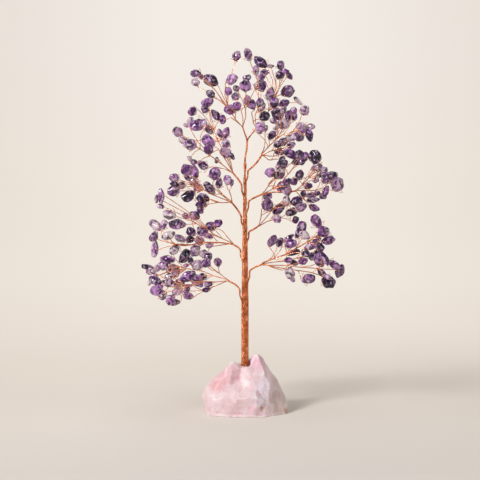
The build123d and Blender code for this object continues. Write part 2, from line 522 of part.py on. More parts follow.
def rod(points, diameter, radii):
    """A round rod along straight runs joined by arcs."""
    corners = [tuple(point) for point in points]
    with BuildPart() as strand:
        with BuildLine() as line:
            if radii:
                FilletPolyline(corners, radius=radii)
            else:
                Polyline(corners)
        path = line.wire()
        with BuildSketch(Plane(origin=path @ 0, z_dir=path % 0)):
            Circle(diameter / 2)
        sweep(path=path)
    expected = math.pi * (diameter / 2) ** 2 * path.length
    sweep_errors.append(abs(strand.part.volume / expected - 1))
    return strand.part.solid()


strand_bend = 12            # largest bend radius, in diameters


def strand_rod(points, diameter):
    """A strand's rod, with bends as wide as it allows."""
    corners = without_straights(points)
    return rod(corners, diameter, bend_radii(corners, strand_bend * diameter))


def write(name, solids):
    """One node's file, with its solids side by side."""
    group = Compound(solids)
    group.label = name
    export_step(group, f"parts/{name}.step")


# Trunk: leads in a ring that closes up as each one leaves for its branch.
peel_height = 6.5           # over which a lead runs off the ring, straight ahead
peel_gap = 0.15             # between the ring and a lead that has left it
lead_end = 1.6              # upright end of a lead, below its stem
closing_start = 2.5         # above the start of the peel
closing_height = 8.0        # over which the ring closes behind it
ring_steps = 10             # points on a turn of the twist
lay_share = 1.02            # room for each lead on the ring, in its widths
foot_glue = 1.2             # glue below the leads
core_gap = 0.1
ring_rounds = 6
crown_leads = 2
saddle_z = saddle_share * reach
foot_z = saddle_z - socket_depth + foot_glue


def ring_radius(leads):
    """Radius of the ring on which a number of twisted leads lie side by side."""
    radius = lead_diameter
    for _ in range(ring_rounds):
        lay = math.atan(2 * math.pi * radius / trunk_pitch)
        radius = lay_share * lead_diameter / math.cos(lay) / (2 * math.sin(math.pi / max(leads, 2)))
    return radius


def smooth(share):
    """An even step from 0 to 1."""
    share = max(0.0, min(1.0, share))
    return share * share * (3 - 2 * share)


class Trunk:
    """Leads with the height at which each one starts to leave."""

    def __init__(self, count):
        self.leaving = [math.inf] * count

    def presence(self, lead, z):
        return 1 - smooth((z - self.leaving[lead] - closing_start) / closing_height)

    def ring(self, z):
        weights = [self.presence(lead, z) for lead in range(len(self.leaving))]
        return weights, sum(weights)

    def angle(self, lead, z):
        weights, total = self.ring(z)
        place = sum(weights[:lead]) + weights[lead] / 2
        return 2 * math.pi * (place / total - z / trunk_pitch)

    def point(self, lead, z):
        radius = ring_radius(self.ring(z)[1])
        angle = self.angle(lead, z)
        return np.array((radius * math.cos(angle), radius * math.sin(angle), z))

    def leaving_point(self, lead, z):
        """Where a lead that leaves at a height has run clear of the ring."""
        start = self.point(lead, z)
        radius = math.hypot(start[0], start[1])
        clear = radius + lead_diameter / 2 + stem_diameter / 2 + peel_gap
        ahead = math.sqrt(clear ** 2 - radius ** 2)
        tangent = np.array((start[1], -start[0], 0)) / radius
        return start + tangent * ahead + np.array((0, 0, peel_height))


trunk = Trunk(len(branch_root_shares) + crown_leads)
stem_roots = {}
for name, (side, up_share) in branch_root_shares.items():
    start_z = up_share * reach - pivot_run - lead_end - peel_height
    staying = [lead for lead, z in enumerate(trunk.leaving) if z == math.inf]
    nearest = max(staying, key=lambda lead: side * trunk.leaving_point(lead, start_z)[0])
    trunk.leaving[nearest] = start_z
    stem_roots[name] = trunk.leaving_point(nearest, start_z) + np.array((0, 0, lead_end))
crown_root_z = crown_root_share * reach
stem_roots["crown"] = np.array((0, 0, crown_root_z))

lead_solids = []
for lead, leaving_z in enumerate(trunk.leaving):
    top_z = min(leaving_z, crown_root_z - lead_end)
    steps = max(2, round((top_z - foot_z) / trunk_pitch * ring_steps))
    points = [trunk.point(lead, foot_z + (top_z - foot_z) * step / steps) for step in range(steps + 1)]
    if leaving_z < crown_root_z:
        off_ring = trunk.leaving_point(lead, leaving_z)
        points.append(off_ring)
    points.append(points[-1] + np.array((0, 0, lead_end)))
    lead_solids.append(strand_rod(points, lead_diameter))

core_steps = 40
core_outline = [(0, foot_z)]
for step in range(core_steps + 1):
    z = foot_z + (crown_root_z - foot_z) * step / core_steps
    least_ring = ring_radius(trunk.ring(z + trunk_pitch / ring_steps)[1])
    radius = least_ring * math.cos(math.pi / ring_steps) - lead_diameter / 2 - core_gap
    if radius < wire_diameter:
        break
    core_outline.append((radius, z))
core_outline.append((0, core_outline[-1][1]))
with BuildPart() as trunk_core:
    with BuildSketch(Plane.XZ):
        with BuildLine():
            Polyline(core_outline, close=True)
        make_face()
    revolve(axis=Axis.Z)

# Rough stone with the socket that the trunk is glued into.
trunk_radius = ring_radius(len(trunk.leaving)) + lead_diameter / 2
socket_radius = trunk_radius + socket_clearance
meniscus = 1.2              # from the glue's top to the socket's rim


def stone_faces():
    """The stone's floor, and triangles from each ring of its corners to the next and over its top."""
    rings = [[Vector(*share) * reach for share in ring] for ring in stone_ring_shares]
    triangles = []
    for low, high in zip(rings, rings[1:]):
        for index in range(len(low)):
            first, second = low[index - 1], low[index]
            third, fourth = high[index], high[index - 1]
            if (third - first).length < (fourth - second).length:
                triangles += [(first, second, third), (first, third, fourth)]
            else:
                triangles += [(first, second, fourth), (second, third, fourth)]
    rim = rings[-1]
    triangles += [(rim[index - 1], rim[index], Vector(0, 0, saddle_z)) for index in range(len(rim))]
    outlines = [rings[0]] + triangles
    return [Face(Wire.make_polygon(outline, close=True)) for outline in outlines]


with BuildPart() as rose_quartz_base:
    add(Solid(Shell(stone_faces())))
    with BuildSketch(Plane.XY.offset(saddle_z - socket_depth)):
        Circle(socket_radius)
    extrude(amount=2 * socket_depth, mode=Mode.SUBTRACT)

with BuildPart() as glue_sleeve:
    with BuildSketch(Plane.XY.offset(saddle_z - socket_depth + strand_gap)):
        Circle(socket_radius - strand_gap)
    extrude(amount=socket_depth - meniscus)
    with BuildSketch(Plane.XY.offset(foot_z - foot_glue / 2)):
        Circle(trunk_radius + strand_gap)
    extrude(amount=socket_depth, mode=Mode.SUBTRACT)


# Strands of the branches, as paths first.
push_rounds = 60
slot_start = np.array((0.2, -1.0, 0.1))


def slots(centre, heading, targets, spacing, least_radius):
    """Places side by side round a strand, each as near to its own strand's way as the others allow."""
    aside = across_of(slot_start, heading)
    third = np.cross(heading, aside)
    count = len(targets)
    radius = least_radius
    if count > 1:
        radius = max(least_radius, spacing / (2 * math.sin(math.pi / count)))
    if radius == 0:
        return [np.zeros(3)]
    bearings = []
    for target in targets:
        bearing = target - centre
        bearings.append(math.atan2(np.dot(bearing, third), np.dot(bearing, aside)))
    order = sorted(range(count), key=lambda index: bearings[index])
    least_turn = 2 * math.asin(min(1, spacing / (2 * radius)))
    for _ in range(push_rounds if count > 1 else 0):
        for rank, index in enumerate(order):
            following = order[(rank + 1) % count]
            apart = bearings[following] - bearings[index]
            if rank == count - 1:
                apart += 2 * math.pi
            push = max(0, least_turn - apart) / 2
            bearings[index] -= push
            bearings[following] += push
    return [radius * (math.cos(angle) * aside + math.sin(angle) * third) for angle in bearings]


class Strand:
    """A strand's path, diameter and parent."""

    def __init__(self, name, parent, diameter, places):
        self.name = name
        self.parent = parent
        self.diameter = diameter
        self.points = [seen_at(across, up, depth * reach) for across, up, depth in places]

    def heading(self, index):
        """The way the strand runs into one of its points."""
        return unit(self.points[index] - self.points[index - 1])


def branch_strands(branch):
    """A branch's strands with their starts laid side by side on the ends they grow from."""
    strands = [Strand(*row) for row in strand_shares[branch]]
    by_name = {strand.name: strand for strand in strands}
    root = stem_roots[branch] + np.array((0, 0, strand_gap))
    stem = by_name["stem"]
    stem.points = [root, root + np.array((0, 0, pivot_run))] + stem.points
    for parent in strands:
        children = [strand for strand in strands if strand.parent == parent.name]
        if not children:
            continue
        heading = parent.heading(-1)
        centre = parent.points[-1]
        targets = [child.points[0] for child in children]
        spacing = max(child.diameter for child in children) + strand_gap
        alone = 0 if len(children) == 1 else spacing / 2
        offsets = slots(centre, heading, targets, spacing, alone)
        for child, offset in zip(children, offsets):
            start = centre + offset + heading * strand_gap
            child.points = [start, start + heading * child.diameter] + child.points
    return by_name


class Knot:
    """A place on a strand where twigs leave it: its end, or the start of a straight run."""

    def __init__(self, strand, index):
        self.strand = strand
        self.index = index
        self.at_end = index == len(strand.points) - 1
        self.centre = strand.points[index]
        self.heading = strand.heading(index)
        if not self.at_end:
            self.heading = strand.heading(index + 1)
            radius = bend_radii(strand.points[index - 1:index + 2], strand_bend * strand.diameter)[0]
            cosine = np.dot(strand.heading(index), self.heading)
            tangent = radius * math.tan(math.acos(max(-1.0, min(1.0, cosine))) / 2)
            self.centre = self.centre + self.heading * tangent
        self.chips = []


strands = {branch: branch_strands(branch) for branch in strand_shares}
knots = {}
for branch, by_name in strands.items():
    parents = {strand.parent for strand in by_name.values()}
    knots[branch] = []
    for strand in by_name.values():
        first = 2 if strand.parent else 3
        last = len(strand.points) - (1 if strand.name in parents else 0)
        knots[branch] += [Knot(strand, index) for index in range(first, last)]


# Chips: each is seen at its place, and its depth is found so that it clears the others.
crosswise_cosine = 0.62     # between a chip's length and its twig, below which the twig comes from the side
slender_share = 0.8         # of its length, the most width of a chip that hangs crosswise
round_share = 0.84          # of its length, the width from which a chip counts as round
first_bulge_share = 0.1     # of a twig's length
trunk_swell = 1.0
swing_margin = 0.5          # degrees tested beyond the swing
thinnest_share = 0.2
crown_edge_share = 1.15     # of reach, where the crown's depth has run out


class Chip:
    """A chip as it is read from the front."""

    def __init__(self, branch, tone, row):
        across, up, length, width, lean = row
        self.branch = branch
        self.tone = tone
        self.across = across
        self.up = up
        self.length = length * reach
        self.width = width * reach
        self.level = np.array((math.cos(lean * math.pi), 0, math.sin(lean * math.pi)))
        self.mixer = random.Random(f"{branch} {across} {up}")
        self.choice = self.mixer.random()

    def settle(self, depth, knot):
        """Take a depth and a knot, and work out how the chip and its twig lie."""
        self.centre = seen_at(self.across, self.up, depth)
        self.knot = knot
        towards = unit(self.centre - knot.centre)
        flat = unit(np.array((towards[0], 0, towards[2])))
        aside = np.array((-self.level[2], 0, self.level[0]))
        self.across_kind = abs(np.dot(flat, self.level)) < crosswise_cosine
        self.across_kind = self.across_kind and self.width < slender_share * self.length
        tip = aside if self.across_kind else self.level
        if np.dot(tip, flat) < 0:
            tip = -tip
        if self.width > round_share * self.length:
            tip = flat
        slope = towards[1] / math.hypot(towards[0], towards[2])
        slope = max(-steepest_tip, min(steepest_tip, slope))
        self.tip = unit(tip + np.array((0, slope, 0)))
        self.wide = across_of(np.cross(self.tip, (0, 1, 0)), self.tip)
        self.half_length = (self.width if self.across_kind else self.length) / 2
        self.foot = self.centre - self.tip * (self.half_length + foot_gap)
        start = knot.centre + knot.heading * launch
        chord = self.foot - start
        bulge = across_of(knot.heading, unit(chord)) * np.linalg.norm(chord) * first_bulge_share
        self.middle = start + chord / 2 + bulge
        long_axis = self.wide if self.across_kind else self.tip
        core = long_axis * (self.length - self.width) / 2
        ends = [(self.centre - core, self.centre + core, self.width * corner_share + chip_swell)]
        thickness = (wire_spacing + wire_diameter) / 2 + twig_swell
        path = [start, self.middle, self.foot]
        ends += [(a, b, thickness) for a, b in zip(path, path[1:])]
        self.starts = np.array([end[0] for end in ends])
        self.ends = np.array([end[1] for end in ends])
        self.radii = np.array([end[2] for end in ends])

    def outside(self, points):
        """How far each point lies outside the chip."""
        third = np.cross(self.tip, self.bore_axis)
        turn = np.array((self.bore_axis, third, self.tip)).T
        return self.kind.outside((points - self.centre) @ turn / self.size) * self.size

    def solid(self):
        """The chip's kind, sized and put in place."""
        plane = Plane(origin=tuple(self.centre), x_dir=tuple(self.bore_axis), z_dir=tuple(self.tip))
        return plane.location * scale(self.kind.solid, by=self.size)


swing_tests = 15
swing_steps = np.linspace(-swing - swing_margin, swing + swing_margin, swing_tests)


class Scene:
    """Everything placed so far, as round-ended segments."""

    def __init__(self):
        self.starts = np.zeros((0, 3))
        self.ends = np.zeros((0, 3))
        self.radii = np.zeros(0)
        self.owners = np.zeros(0, dtype=int)
        self.twigs = np.zeros(0, dtype=bool)

    def add(self, starts, ends, radii, owner, twigs):
        self.starts = np.vstack((self.starts, starts))
        self.ends = np.vstack((self.ends, ends))
        self.radii = np.concatenate((self.radii, radii))
        self.owners = np.concatenate((self.owners, np.full(len(radii), owner)))
        self.twigs = np.concatenate((self.twigs, twigs))

    def room(self, chip, owner, skip):
        """How much space a settled chip has beyond what it needs."""
        gaps = segment_gaps(chip.starts, chip.ends, self.starts, self.ends)
        gaps = gaps - chip.radii[:, None] - self.radii[None, :] - chip_clearance
        own = self.owners == owner
        gaps[1:, own & self.twigs] = math.inf
        gaps[1:, skip] = math.inf
        room = gaps.min()
        if room < 0:
            return room
        low = min(chip.starts[:, 2].min(), chip.ends[:, 2].min()) - chip.width
        high = max(chip.starts[:, 2].max(), chip.ends[:, 2].max()) + chip.width
        near = ~own & (np.maximum(self.starts[:, 2], self.ends[:, 2]) + self.radii > low)
        near &= np.minimum(self.starts[:, 2], self.ends[:, 2]) - self.radii < high
        if not near.any():
            return room
        for degrees in swing_steps:
            starts = turned(chip.starts, degrees)
            ends = turned(chip.ends, degrees)
            gaps = segment_gaps(starts, ends, self.starts[near], self.ends[near])
            gaps = gaps - chip.radii[:, None] - self.radii[near][None, :] - swing_clearance
            room = min(room, gaps.min())
            if room < 0:
                break
        return room


branches = list(strands)
scene = Scene()
trunk_top = np.array((0, 0, crown_root_z))
trunk_foot = np.array((0, 0, foot_z))
trunk_room = np.array((trunk_radius + trunk_swell,))
scene.add(trunk_foot[None, :], trunk_top[None, :], trunk_room, -1, np.array((False,)))
strand_rows = {}
for owner, branch in enumerate(branches):
    for strand in strands[branch].values():
        starts = np.array(strand.points[:-1])
        ends = np.array(strand.points[1:])
        first = len(scene.radii)
        radii = np.full(len(starts), strand.diameter / 2)
        scene.add(starts, ends, radii, owner, np.full(len(starts), False))
        strand_rows[(branch, strand.name)] = range(first, first + len(starts))

chips = []
for branch, by_tone in chip_shares.items():
    for tone in chip_tones:
        chips += [Chip(branch, tone, row) for row in by_tone[tone]]
deepest = 0.56 * reach
spread = 0.24 * reach
depth_step = 2.5
shortest_twig = 3.0
knot_depth_share = 1.3
turn_cost = 14
depth_cost = 0.8
slope_cost = 16
most_tries = 160
for chip in sorted(chips, key=lambda chip: -chip.length * chip.width):
    owner = branches.index(chip.branch)
    flat_place = seen_at(chip.across, chip.up, 0)
    limit = deepest * math.sqrt(max(thinnest_share, 1 - (flat_place[0] / (crown_edge_share * reach)) ** 2))
    tries = []
    for knot in knots[chip.branch]:
        for count in range(-round(limit / depth_step), round(limit / depth_step) + 1):
            depth = count * depth_step
            place = seen_at(chip.across, chip.up, depth)
            away = place - knot.centre
            length = np.linalg.norm(away)
            ahead = np.dot(away, knot.heading) / length
            wanted = knot.centre[1] * knot_depth_share + spread * (2 * chip.choice - 1)
            cost = length + turn_cost * (1 - ahead) + depth_cost * abs(depth - wanted)
            cost += slope_cost * max(0, abs(away[1]) / math.hypot(away[0], away[2]) - steepest_tip)
            if length > chip.length / 2 + shortest_twig:
                tries.append((cost, depth, knot))
    tries.sort(key=lambda entry: entry[0])
    best = None
    for cost, depth, knot in tries[:most_tries]:
        chip.settle(depth, knot)
        rows = strand_rows[(chip.branch, knot.strand.name)]
        room = scene.room(chip, owner, list(rows[knot.index - 1:knot.index + 1]))
        if best is None or room > best[0]:
            best = (room, depth, knot)
        if room >= 0:
            break
    if best[0] < 0:
        print("tight", chip.branch, chip.tone, chip.across, chip.up, round(best[0], 2))
    chip.settle(best[1], best[2])
    chip.knot.chips.append(chip)
    scene.add(chip.starts, chip.ends, chip.radii, owner, np.array([False] + [True] * (len(chip.radii) - 1)))


# The kinds of chip.
corner_ways = [(x, y, z) for x in (-1, 1) for y in (-1, 1) for z in (-1, 1)]
taper_ways = [(1.1, 0, -1), (-1.1, 0, -1), (0, 0.9, -1), (0, -0.9, -1)]
face_jitter = 0.22
deep_bore_chance = 0.4


class ChipKind:
    """A faceted chip, bored across, with its tip up and its bore along X."""

    def __init__(self, across_kind, deep_bore, width, large):
        length = large_chip if large else small_chip
        self.bore = large_bore if large else small_bore
        halves = {
            "length": length / 2,
            "width": length * width / 2,
            "thickness": length * width * thickness_share / 2,
        }
        if across_kind:
            self.half = np.array((halves["thickness"], halves["length"], halves["width"]))
        elif deep_bore:
            self.half = np.array((halves["thickness"], halves["width"], halves["length"]))
        else:
            self.half = np.array((halves["width"], halves["thickness"], halves["length"]))
        self.length = length
        mixer = random.Random(f"{across_kind} {deep_bore} {width} {large}")
        self.faces = []
        for direction in corner_ways + taper_ways:
            jitter = [mixer.uniform(-face_jitter, face_jitter) for _ in range(3)]
            jittered = unit(np.array(direction) + np.array(jitter))
            normal = unit(jittered / self.half)
            away = np.linalg.norm(normal * self.half) * mixer.uniform(*chip_depth_shares)
            self.faces.append((normal, away))
        self.bore_z = bore_share * self.half[2]
        self.mouth = self.mouth_place()
        self.solid = self.make()

    def outside(self, points):
        """How far each point lies in front of the face that it is furthest in front of."""
        room = np.max(np.abs(points) - self.half, axis=1)
        for normal, away in self.faces:
            room = np.maximum(room, points @ normal - away)
        return room

    def mouth_place(self):
        """How far out the wire has to bend for its legs to pass clear of the chip."""
        place = self.half[0] / 2
        foot = np.array((wire_spacing / 2, 0, -self.half[2] - foot_gap))
        while True:
            place += sure_gap
            bend = np.array((place, 0, self.bore_z))
            leg = closer(np.array((foot, bend)))
            both = np.vstack((leg, leg * (-1, 1, 1)))
            ends = np.vstack((bend, bend * (-1, 1, 1)))
            leg_gap = self.outside(both).min() - wire_diameter / 2
            if leg_gap > 2 * sure_gap and self.outside(ends).min() > mouth_gap:
                return place

    def make(self):
        with BuildPart() as chip:
            Box(*(2 * self.half))
            for normal, away in self.faces:
                split(bisect_by=Plane(origin=tuple(normal * away), z_dir=tuple(normal)), keep=Keep.BOTTOM)
            with Locations((0, 0, self.bore_z)):
                Cylinder(self.bore / 2, 4 * self.half[0], rotation=(0, 90, 0), mode=Mode.SUBTRACT)
        return chip.part.solid()


kinds = {}


def kind_for(chip):
    """The kind nearest to a chip, made when it is first needed."""
    width = min(chip_widths, key=lambda share: abs(share - chip.width / chip.length))
    deep_bore = not chip.across_kind and chip.choice * 7 % 1 < deep_bore_chance
    key = (chip.across_kind, deep_bore, width, chip.length > chip_split)
    if key not in kinds:
        kinds[key] = ChipKind(*key)
    return kinds[key]


knot_samples = 6            # of a twig's path beside its own strand
hull_step = 2
hull_shares = 18


class Twig:
    """The wire of a chip: up from its knot, round through the bore, and back down."""

    def __init__(self, chip, offset):
        knot = chip.knot
        self.chip = chip
        self.outward = across_of(chip.centre - knot.centre, knot.heading)
        if np.linalg.norm(offset) > wire_diameter / 2:
            self.outward = across_of(offset, knot.heading)
        self.start = knot.centre + offset + knot.heading * strand_gap
        self.lifted = self.start + (knot.heading + self.outward * launch_lean_share) * launch
        self.foot = chip.centre - chip.tip * (chip.kind.half[2] * chip.size + foot_gap * max(1, chip.size))

    def bend(self, bulge_share, bulge_turn):
        """Lay the wire with a bulge of its own between the knot and the chip."""
        chip = self.chip
        chord = self.foot - self.lifted
        ahead = unit(chord)
        bulge = across_of(chip.knot.heading, ahead)
        angle = math.radians(bulge_turn)
        bulge = bulge * math.cos(angle) + np.cross(ahead, bulge) * math.sin(angle)
        middle = self.lifted + chord / 2 + bulge * np.linalg.norm(chord) * bulge_share
        line = [self.start, self.lifted, middle, self.foot]
        low_side = np.cross(chip.knot.heading, self.outward)
        high_side = across_of(chip.bore_axis, ahead)
        if np.dot(low_side, high_side) < 0:
            low_side = -low_side
        sides = [low_side, low_side, high_side, chip.bore_axis]
        legs = []
        mouths = []
        for hand in (1, -1):
            legs.append([point + side * hand * wire_spacing / 2 for point, side in zip(line, sides)])
            up_tip = chip.tip * chip.kind.bore_z
            mouths.append(chip.centre + (up_tip + chip.bore_axis * hand * chip.kind.mouth) * chip.size)
        self.corners = without_straights(legs[0] + mouths + legs[1][::-1])
        self.radii = bend_radii(self.corners, twig_bend)
        for index, corner in enumerate(self.corners[1:-1]):
            if min(np.linalg.norm(corner - mouth) for mouth in mouths) < sure_gap:
                self.radii[index] = min(self.radii[index], mouth_bend)
            elif np.linalg.norm(corner - self.foot) < wire_spacing:
                self.radii[index] = min(self.radii[index], foot_bend)
        self.path = samples(self.corners, self.radii)
        self.legs = self.below_bore(self.path)
        self.near_legs = self.below_bore(closer(self.path))

    def below_bore(self, points):
        """The points of the two legs, without the bends at the mouths and the run in the bore."""
        chip = self.chip
        away = points - chip.centre
        kept = np.abs(away @ chip.bore_axis) < chip.kind.mouth * chip.size - mouth_bend
        kept &= away @ chip.tip < chip.kind.bore_z * chip.size - wire_diameter
        return points[kept]

    def room(self, others, branch_strands, laid):
        """Least space round the wire."""
        points = closer(self.path)
        room = math.inf
        for chip in others:
            if chip is not self.chip and np.linalg.norm(points - chip.centre, axis=1).min() < chip.length:
                room = min(room, chip.outside(points).min() - wire_diameter / 2)
        room = min(room, self.chip.outside(self.legs).min() - wire_diameter / 2)
        room = min(room, self.chip.outside(self.near_legs).min() - wire_diameter / 2 + own_give)
        starts = self.path[:-1]
        ends = self.path[1:]
        for strand in branch_strands:
            corners = np.array(strand.points)
            gaps = segment_gaps(starts, ends, corners[:-1], corners[1:])
            if strand is self.chip.knot.strand:
                gaps = gaps[knot_samples:-knot_samples]
            room = min(room, gaps.min() - strand.diameter / 2 - wire_diameter / 2)
        for twig in laid:
            reaches = np.linalg.norm(twig.foot - twig.start) + np.linalg.norm(self.foot - self.start)
            if np.linalg.norm(twig.foot - self.foot) < reaches + small_chip:
                gaps = segment_gaps(starts, ends, twig.path[:-1], twig.path[1:])
                room = min(room, gaps.min() - wire_diameter)
        return room

    def hull_room(self, others):
        """Least space between the wire's convex hull and the chips of other branches."""
        picked = self.path[::hull_step]
        first, second = np.triu_indices(len(picked), 1)
        shares = np.linspace(0, 1, hull_shares)[:, None, None]
        hull = (picked[first] * (1 - shares) + picked[second] * shares).reshape(-1, 3)
        room = math.inf
        for chip in others:
            if chip.branch == self.chip.branch:
                continue
            if np.linalg.norm(hull - chip.centre, axis=1).min() > chip.length + small_chip:
                continue
            for root in (stem_roots[self.chip.branch], stem_roots[chip.branch]):
                for degrees in swing_steps:
                    swung = root + turned(hull - root, degrees)
                    room = min(room, chip.outside(swung).min() - wire_diameter / 2)
        return room


os.makedirs("parts", exist_ok=True)
write("rose_quartz_base", [rose_quartz_base.part.solid()])
write("glue_sleeve", [glue_sleeve.part.solid()])
write("trunk_core", [trunk_core.part.solid()])
write("trunk_leads", lead_solids)

largest_roll = 25           # degrees
for chip in chips:
    chip.kind = kind_for(chip)
    chip.size = chip.length / chip.kind.length
    roll = math.radians(largest_roll) * (2 * (chip.choice * 13 % 1) - 1)
    first = chip.wide * math.cos(roll) + np.cross(chip.tip, chip.wide) * math.sin(roll)
    second = np.cross(chip.tip, first)
    faces_deep = chip.across_kind or chip.kind.half[0] < chip.kind.half[1]
    chip.bore_axis = second if faces_deep else first

for branch in branches:
    own_strands = strands[branch].values()
    write(f"{branch}_stems", [strand_rod(strand.points, strand.diameter) for strand in own_strands])
    laid = []
    for knot in knots[branch]:
        if not knot.chips:
            continue
        pair = wire_spacing + wire_diameter + strand_gap
        around = 0 if knot.at_end else knot.strand.diameter / 2 + wire_diameter / 2 + strand_gap
        offsets = slots(knot.centre, knot.heading, [chip.centre for chip in knot.chips], pair, around)
        for chip, offset in zip(knot.chips, offsets):
            twig = Twig(chip, offset)
            best = None
            for bulge_turn in bulge_turns:
                for bulge_share in bulge_shares:
                    if best is None or best[0] < sure_gap:
                        twig.bend(bulge_share, bulge_turn)
                        room = min(twig.room(chips, own_strands, laid), twig.hull_room(chips))
                        if best is None or room > best[0]:
                            best = (room, bulge_share, bulge_turn)
            twig.bend(best[1], best[2])
            if best[0] < 0:
                print("twig overlap", branch, chip.tone, chip.across, chip.up, round(best[0], 2))
            laid.append(twig)
    write(f"{branch}_twigs", [rod(twig.corners, wire_diameter, twig.radii) for twig in laid])
    for tone in chip_tones:
        toned = [chip for chip in chips if chip.branch == branch and chip.tone == tone]
        write(f"{branch}_{tone}_chips", [chip.solid() for chip in toned])

for name, root in stem_roots.items():
    print(name, "pivot", [round(float(value), 3) for value in root])
print("kinds", len(kinds), "chips", len(chips), "largest sweep error", round(max(sweep_errors), 5))
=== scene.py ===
import json
import math

import bmesh
import bpy
import numpy as np
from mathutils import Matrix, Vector

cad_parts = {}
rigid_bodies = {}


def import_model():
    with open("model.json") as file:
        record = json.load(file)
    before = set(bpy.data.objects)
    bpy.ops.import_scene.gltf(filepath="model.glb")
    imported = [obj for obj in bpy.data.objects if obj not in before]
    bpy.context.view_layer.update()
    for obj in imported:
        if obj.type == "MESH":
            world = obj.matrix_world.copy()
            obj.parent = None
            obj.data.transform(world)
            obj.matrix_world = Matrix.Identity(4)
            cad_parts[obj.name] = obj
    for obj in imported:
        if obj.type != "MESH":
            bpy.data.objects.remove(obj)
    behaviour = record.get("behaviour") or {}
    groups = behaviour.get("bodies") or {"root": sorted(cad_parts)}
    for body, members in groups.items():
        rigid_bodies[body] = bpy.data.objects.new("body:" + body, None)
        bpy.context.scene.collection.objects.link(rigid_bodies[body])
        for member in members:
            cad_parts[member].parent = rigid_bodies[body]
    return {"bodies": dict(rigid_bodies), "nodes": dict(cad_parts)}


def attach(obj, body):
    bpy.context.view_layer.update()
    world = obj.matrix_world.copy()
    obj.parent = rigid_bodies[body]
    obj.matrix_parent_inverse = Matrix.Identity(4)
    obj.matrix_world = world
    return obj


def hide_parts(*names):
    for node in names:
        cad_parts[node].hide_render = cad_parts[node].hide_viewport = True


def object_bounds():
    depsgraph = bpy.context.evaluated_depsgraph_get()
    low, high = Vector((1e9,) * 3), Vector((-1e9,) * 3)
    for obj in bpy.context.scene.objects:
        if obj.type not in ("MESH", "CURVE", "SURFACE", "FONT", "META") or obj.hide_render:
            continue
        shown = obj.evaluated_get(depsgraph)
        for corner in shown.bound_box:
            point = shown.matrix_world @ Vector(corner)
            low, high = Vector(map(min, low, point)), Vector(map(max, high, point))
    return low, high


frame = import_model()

# Gemstone tree: twisted copper wire with tumbled amethyst chips, glued into a rough rose quartz stone.
# The CAD model holds every chip, twig and strand in its place; the scene gives each its real surface.
cad_low, cad_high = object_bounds()
MM = 0.001


# Rough stone: rose quartz broken from a larger lump, so it is all dull conchoidal faces with worn edges,
# and flat below where it was ground to stand. It is pale pink and cloudy, with milky veins, pinker
# hearts and a few rust-coloured stains. The tree's foot is glued into a hole drilled in its top.
STONE_GRAIN = 0.6 * MM      # the mesh's voxel, fine enough for the ridges between broken faces
WEAR_ROUNDS = 2             # of smoothing, which takes the sharpness off those ridges
WAVE = 16 * MM              # width of the slow waves in a broken face
WAVE_DEPTH = 1.6 * MM
WAVE_SHIFT = -1.2           # the waves mostly sink into the face, as breaking takes stone away
SCALLOP = 11 * MM           # width of the shell-shaped scallops
SCALLOP_DEPTH = 1.8 * MM
SCALLOP_LEVEL = 0.75        # the ridges between scallops stand this high in their pattern
WARP = 9 * MM
WARP_PUSH = 6 * MM          # how far the warp bends the scallops out of their even cells
GROUND_FROM = 0.3 * MM      # the underside is ground flat, and the breaks begin above it
GROUND_TO = 3 * MM
BREAK_SEED = 3.0
RELIEF_ROUNDS = 14          # of averaging, which levels the ridges that the relief is measured from
DOUBLES = 0.001 * MM        # corners of the CAD model closer than this are one
CLOUD = 14 * MM             # size of the pale clouds in the stone
HEART = 9 * MM              # of its pinker hearts
CHIPPING = 4 * MM           # of the chipped places along a ridge
VEIN = 7 * MM               # between milky veins
SPECKLE = 1.6 * MM          # of the rust's specks
BROKEN_GRAIN = 2.2 * MM     # of the small steps in a broken face
BROKEN_DEPTH = 0.5 * MM
QUARTZ_GLOW = (6 * MM, 3.5 * MM, 3.5 * MM)      # how far red, green and blue light goes in
PATCH_EDGE = 0.6            # how softly a tinted place ends, as a share of its radius
TINTS_AND_PAINTED_LIGHT_MM = (               # centre, radii and colour of places with a tone of their own, some of it painted light
    # in the hollow above the ledge: a deeper pink, partly its own and partly painted shade
    ((-18, -12, 30), (13, 14, 8), "#DDB2BA"),
    ((-23, -14, 24), (7, 9, 5), "#D8A3A9"),
    ((12, -4, 42), (9, 12, 6), "#DDB3C2"),
    # on the front facet: paler and bluish, painted light
    ((16, -22, 19), (9, 14, 12), "#D9CBD6"),
    # on the right front facet: darker grey-brown, painted shade
    ((28, -14, 9), (11, 16, 13), "#CBB4B0"),
)
STAINED_MM = (              # centre and radii of the rust stains, which lie in cracks
    ((13.4, -24, 6.6), (2.2, 6, 4.6)),
    ((32.5, -8, 2.5), (2.6, 9, 4.2)),
    ((30, -6, 20), (2.0, 8, 5.0)),
)
NOISE = "ShaderNodeTexNoise"
RAMP = "ShaderNodeValToRGB"
RANGE = "ShaderNodeMapRange"
MATH = "ShaderNodeMath"
VECTORS = "ShaderNodeVectorMath"
MIX = "ShaderNodeMix"
BELOW, ABOVE, MIXED = 6, 7, 2       # a Mix node's sockets for colours, because their names repeat


def linear(hex_colour):
    """An sRGB hex colour as linear red, green, blue and alpha."""
    channels = [int(hex_colour[index:index + 2], 16) / 255 for index in (1, 3, 5)]
    return tuple(c / 12.92 if c <= 0.04045 else ((c + 0.055) / 1.055) ** 2.4 for c in channels) + (1.0,)


def feed(tree, socket, value):
    """Link a socket from an output or a list of them, or set it to a value or a hex colour."""
    if isinstance(value, bpy.types.NodeSocket):
        tree.links.new(value, socket)
    elif isinstance(value, list):
        for output in value:
            tree.links.new(output, socket)
    elif isinstance(value, str) and socket.type == "RGBA":
        socket.default_value = linear(value)
    else:
        socket.default_value = value


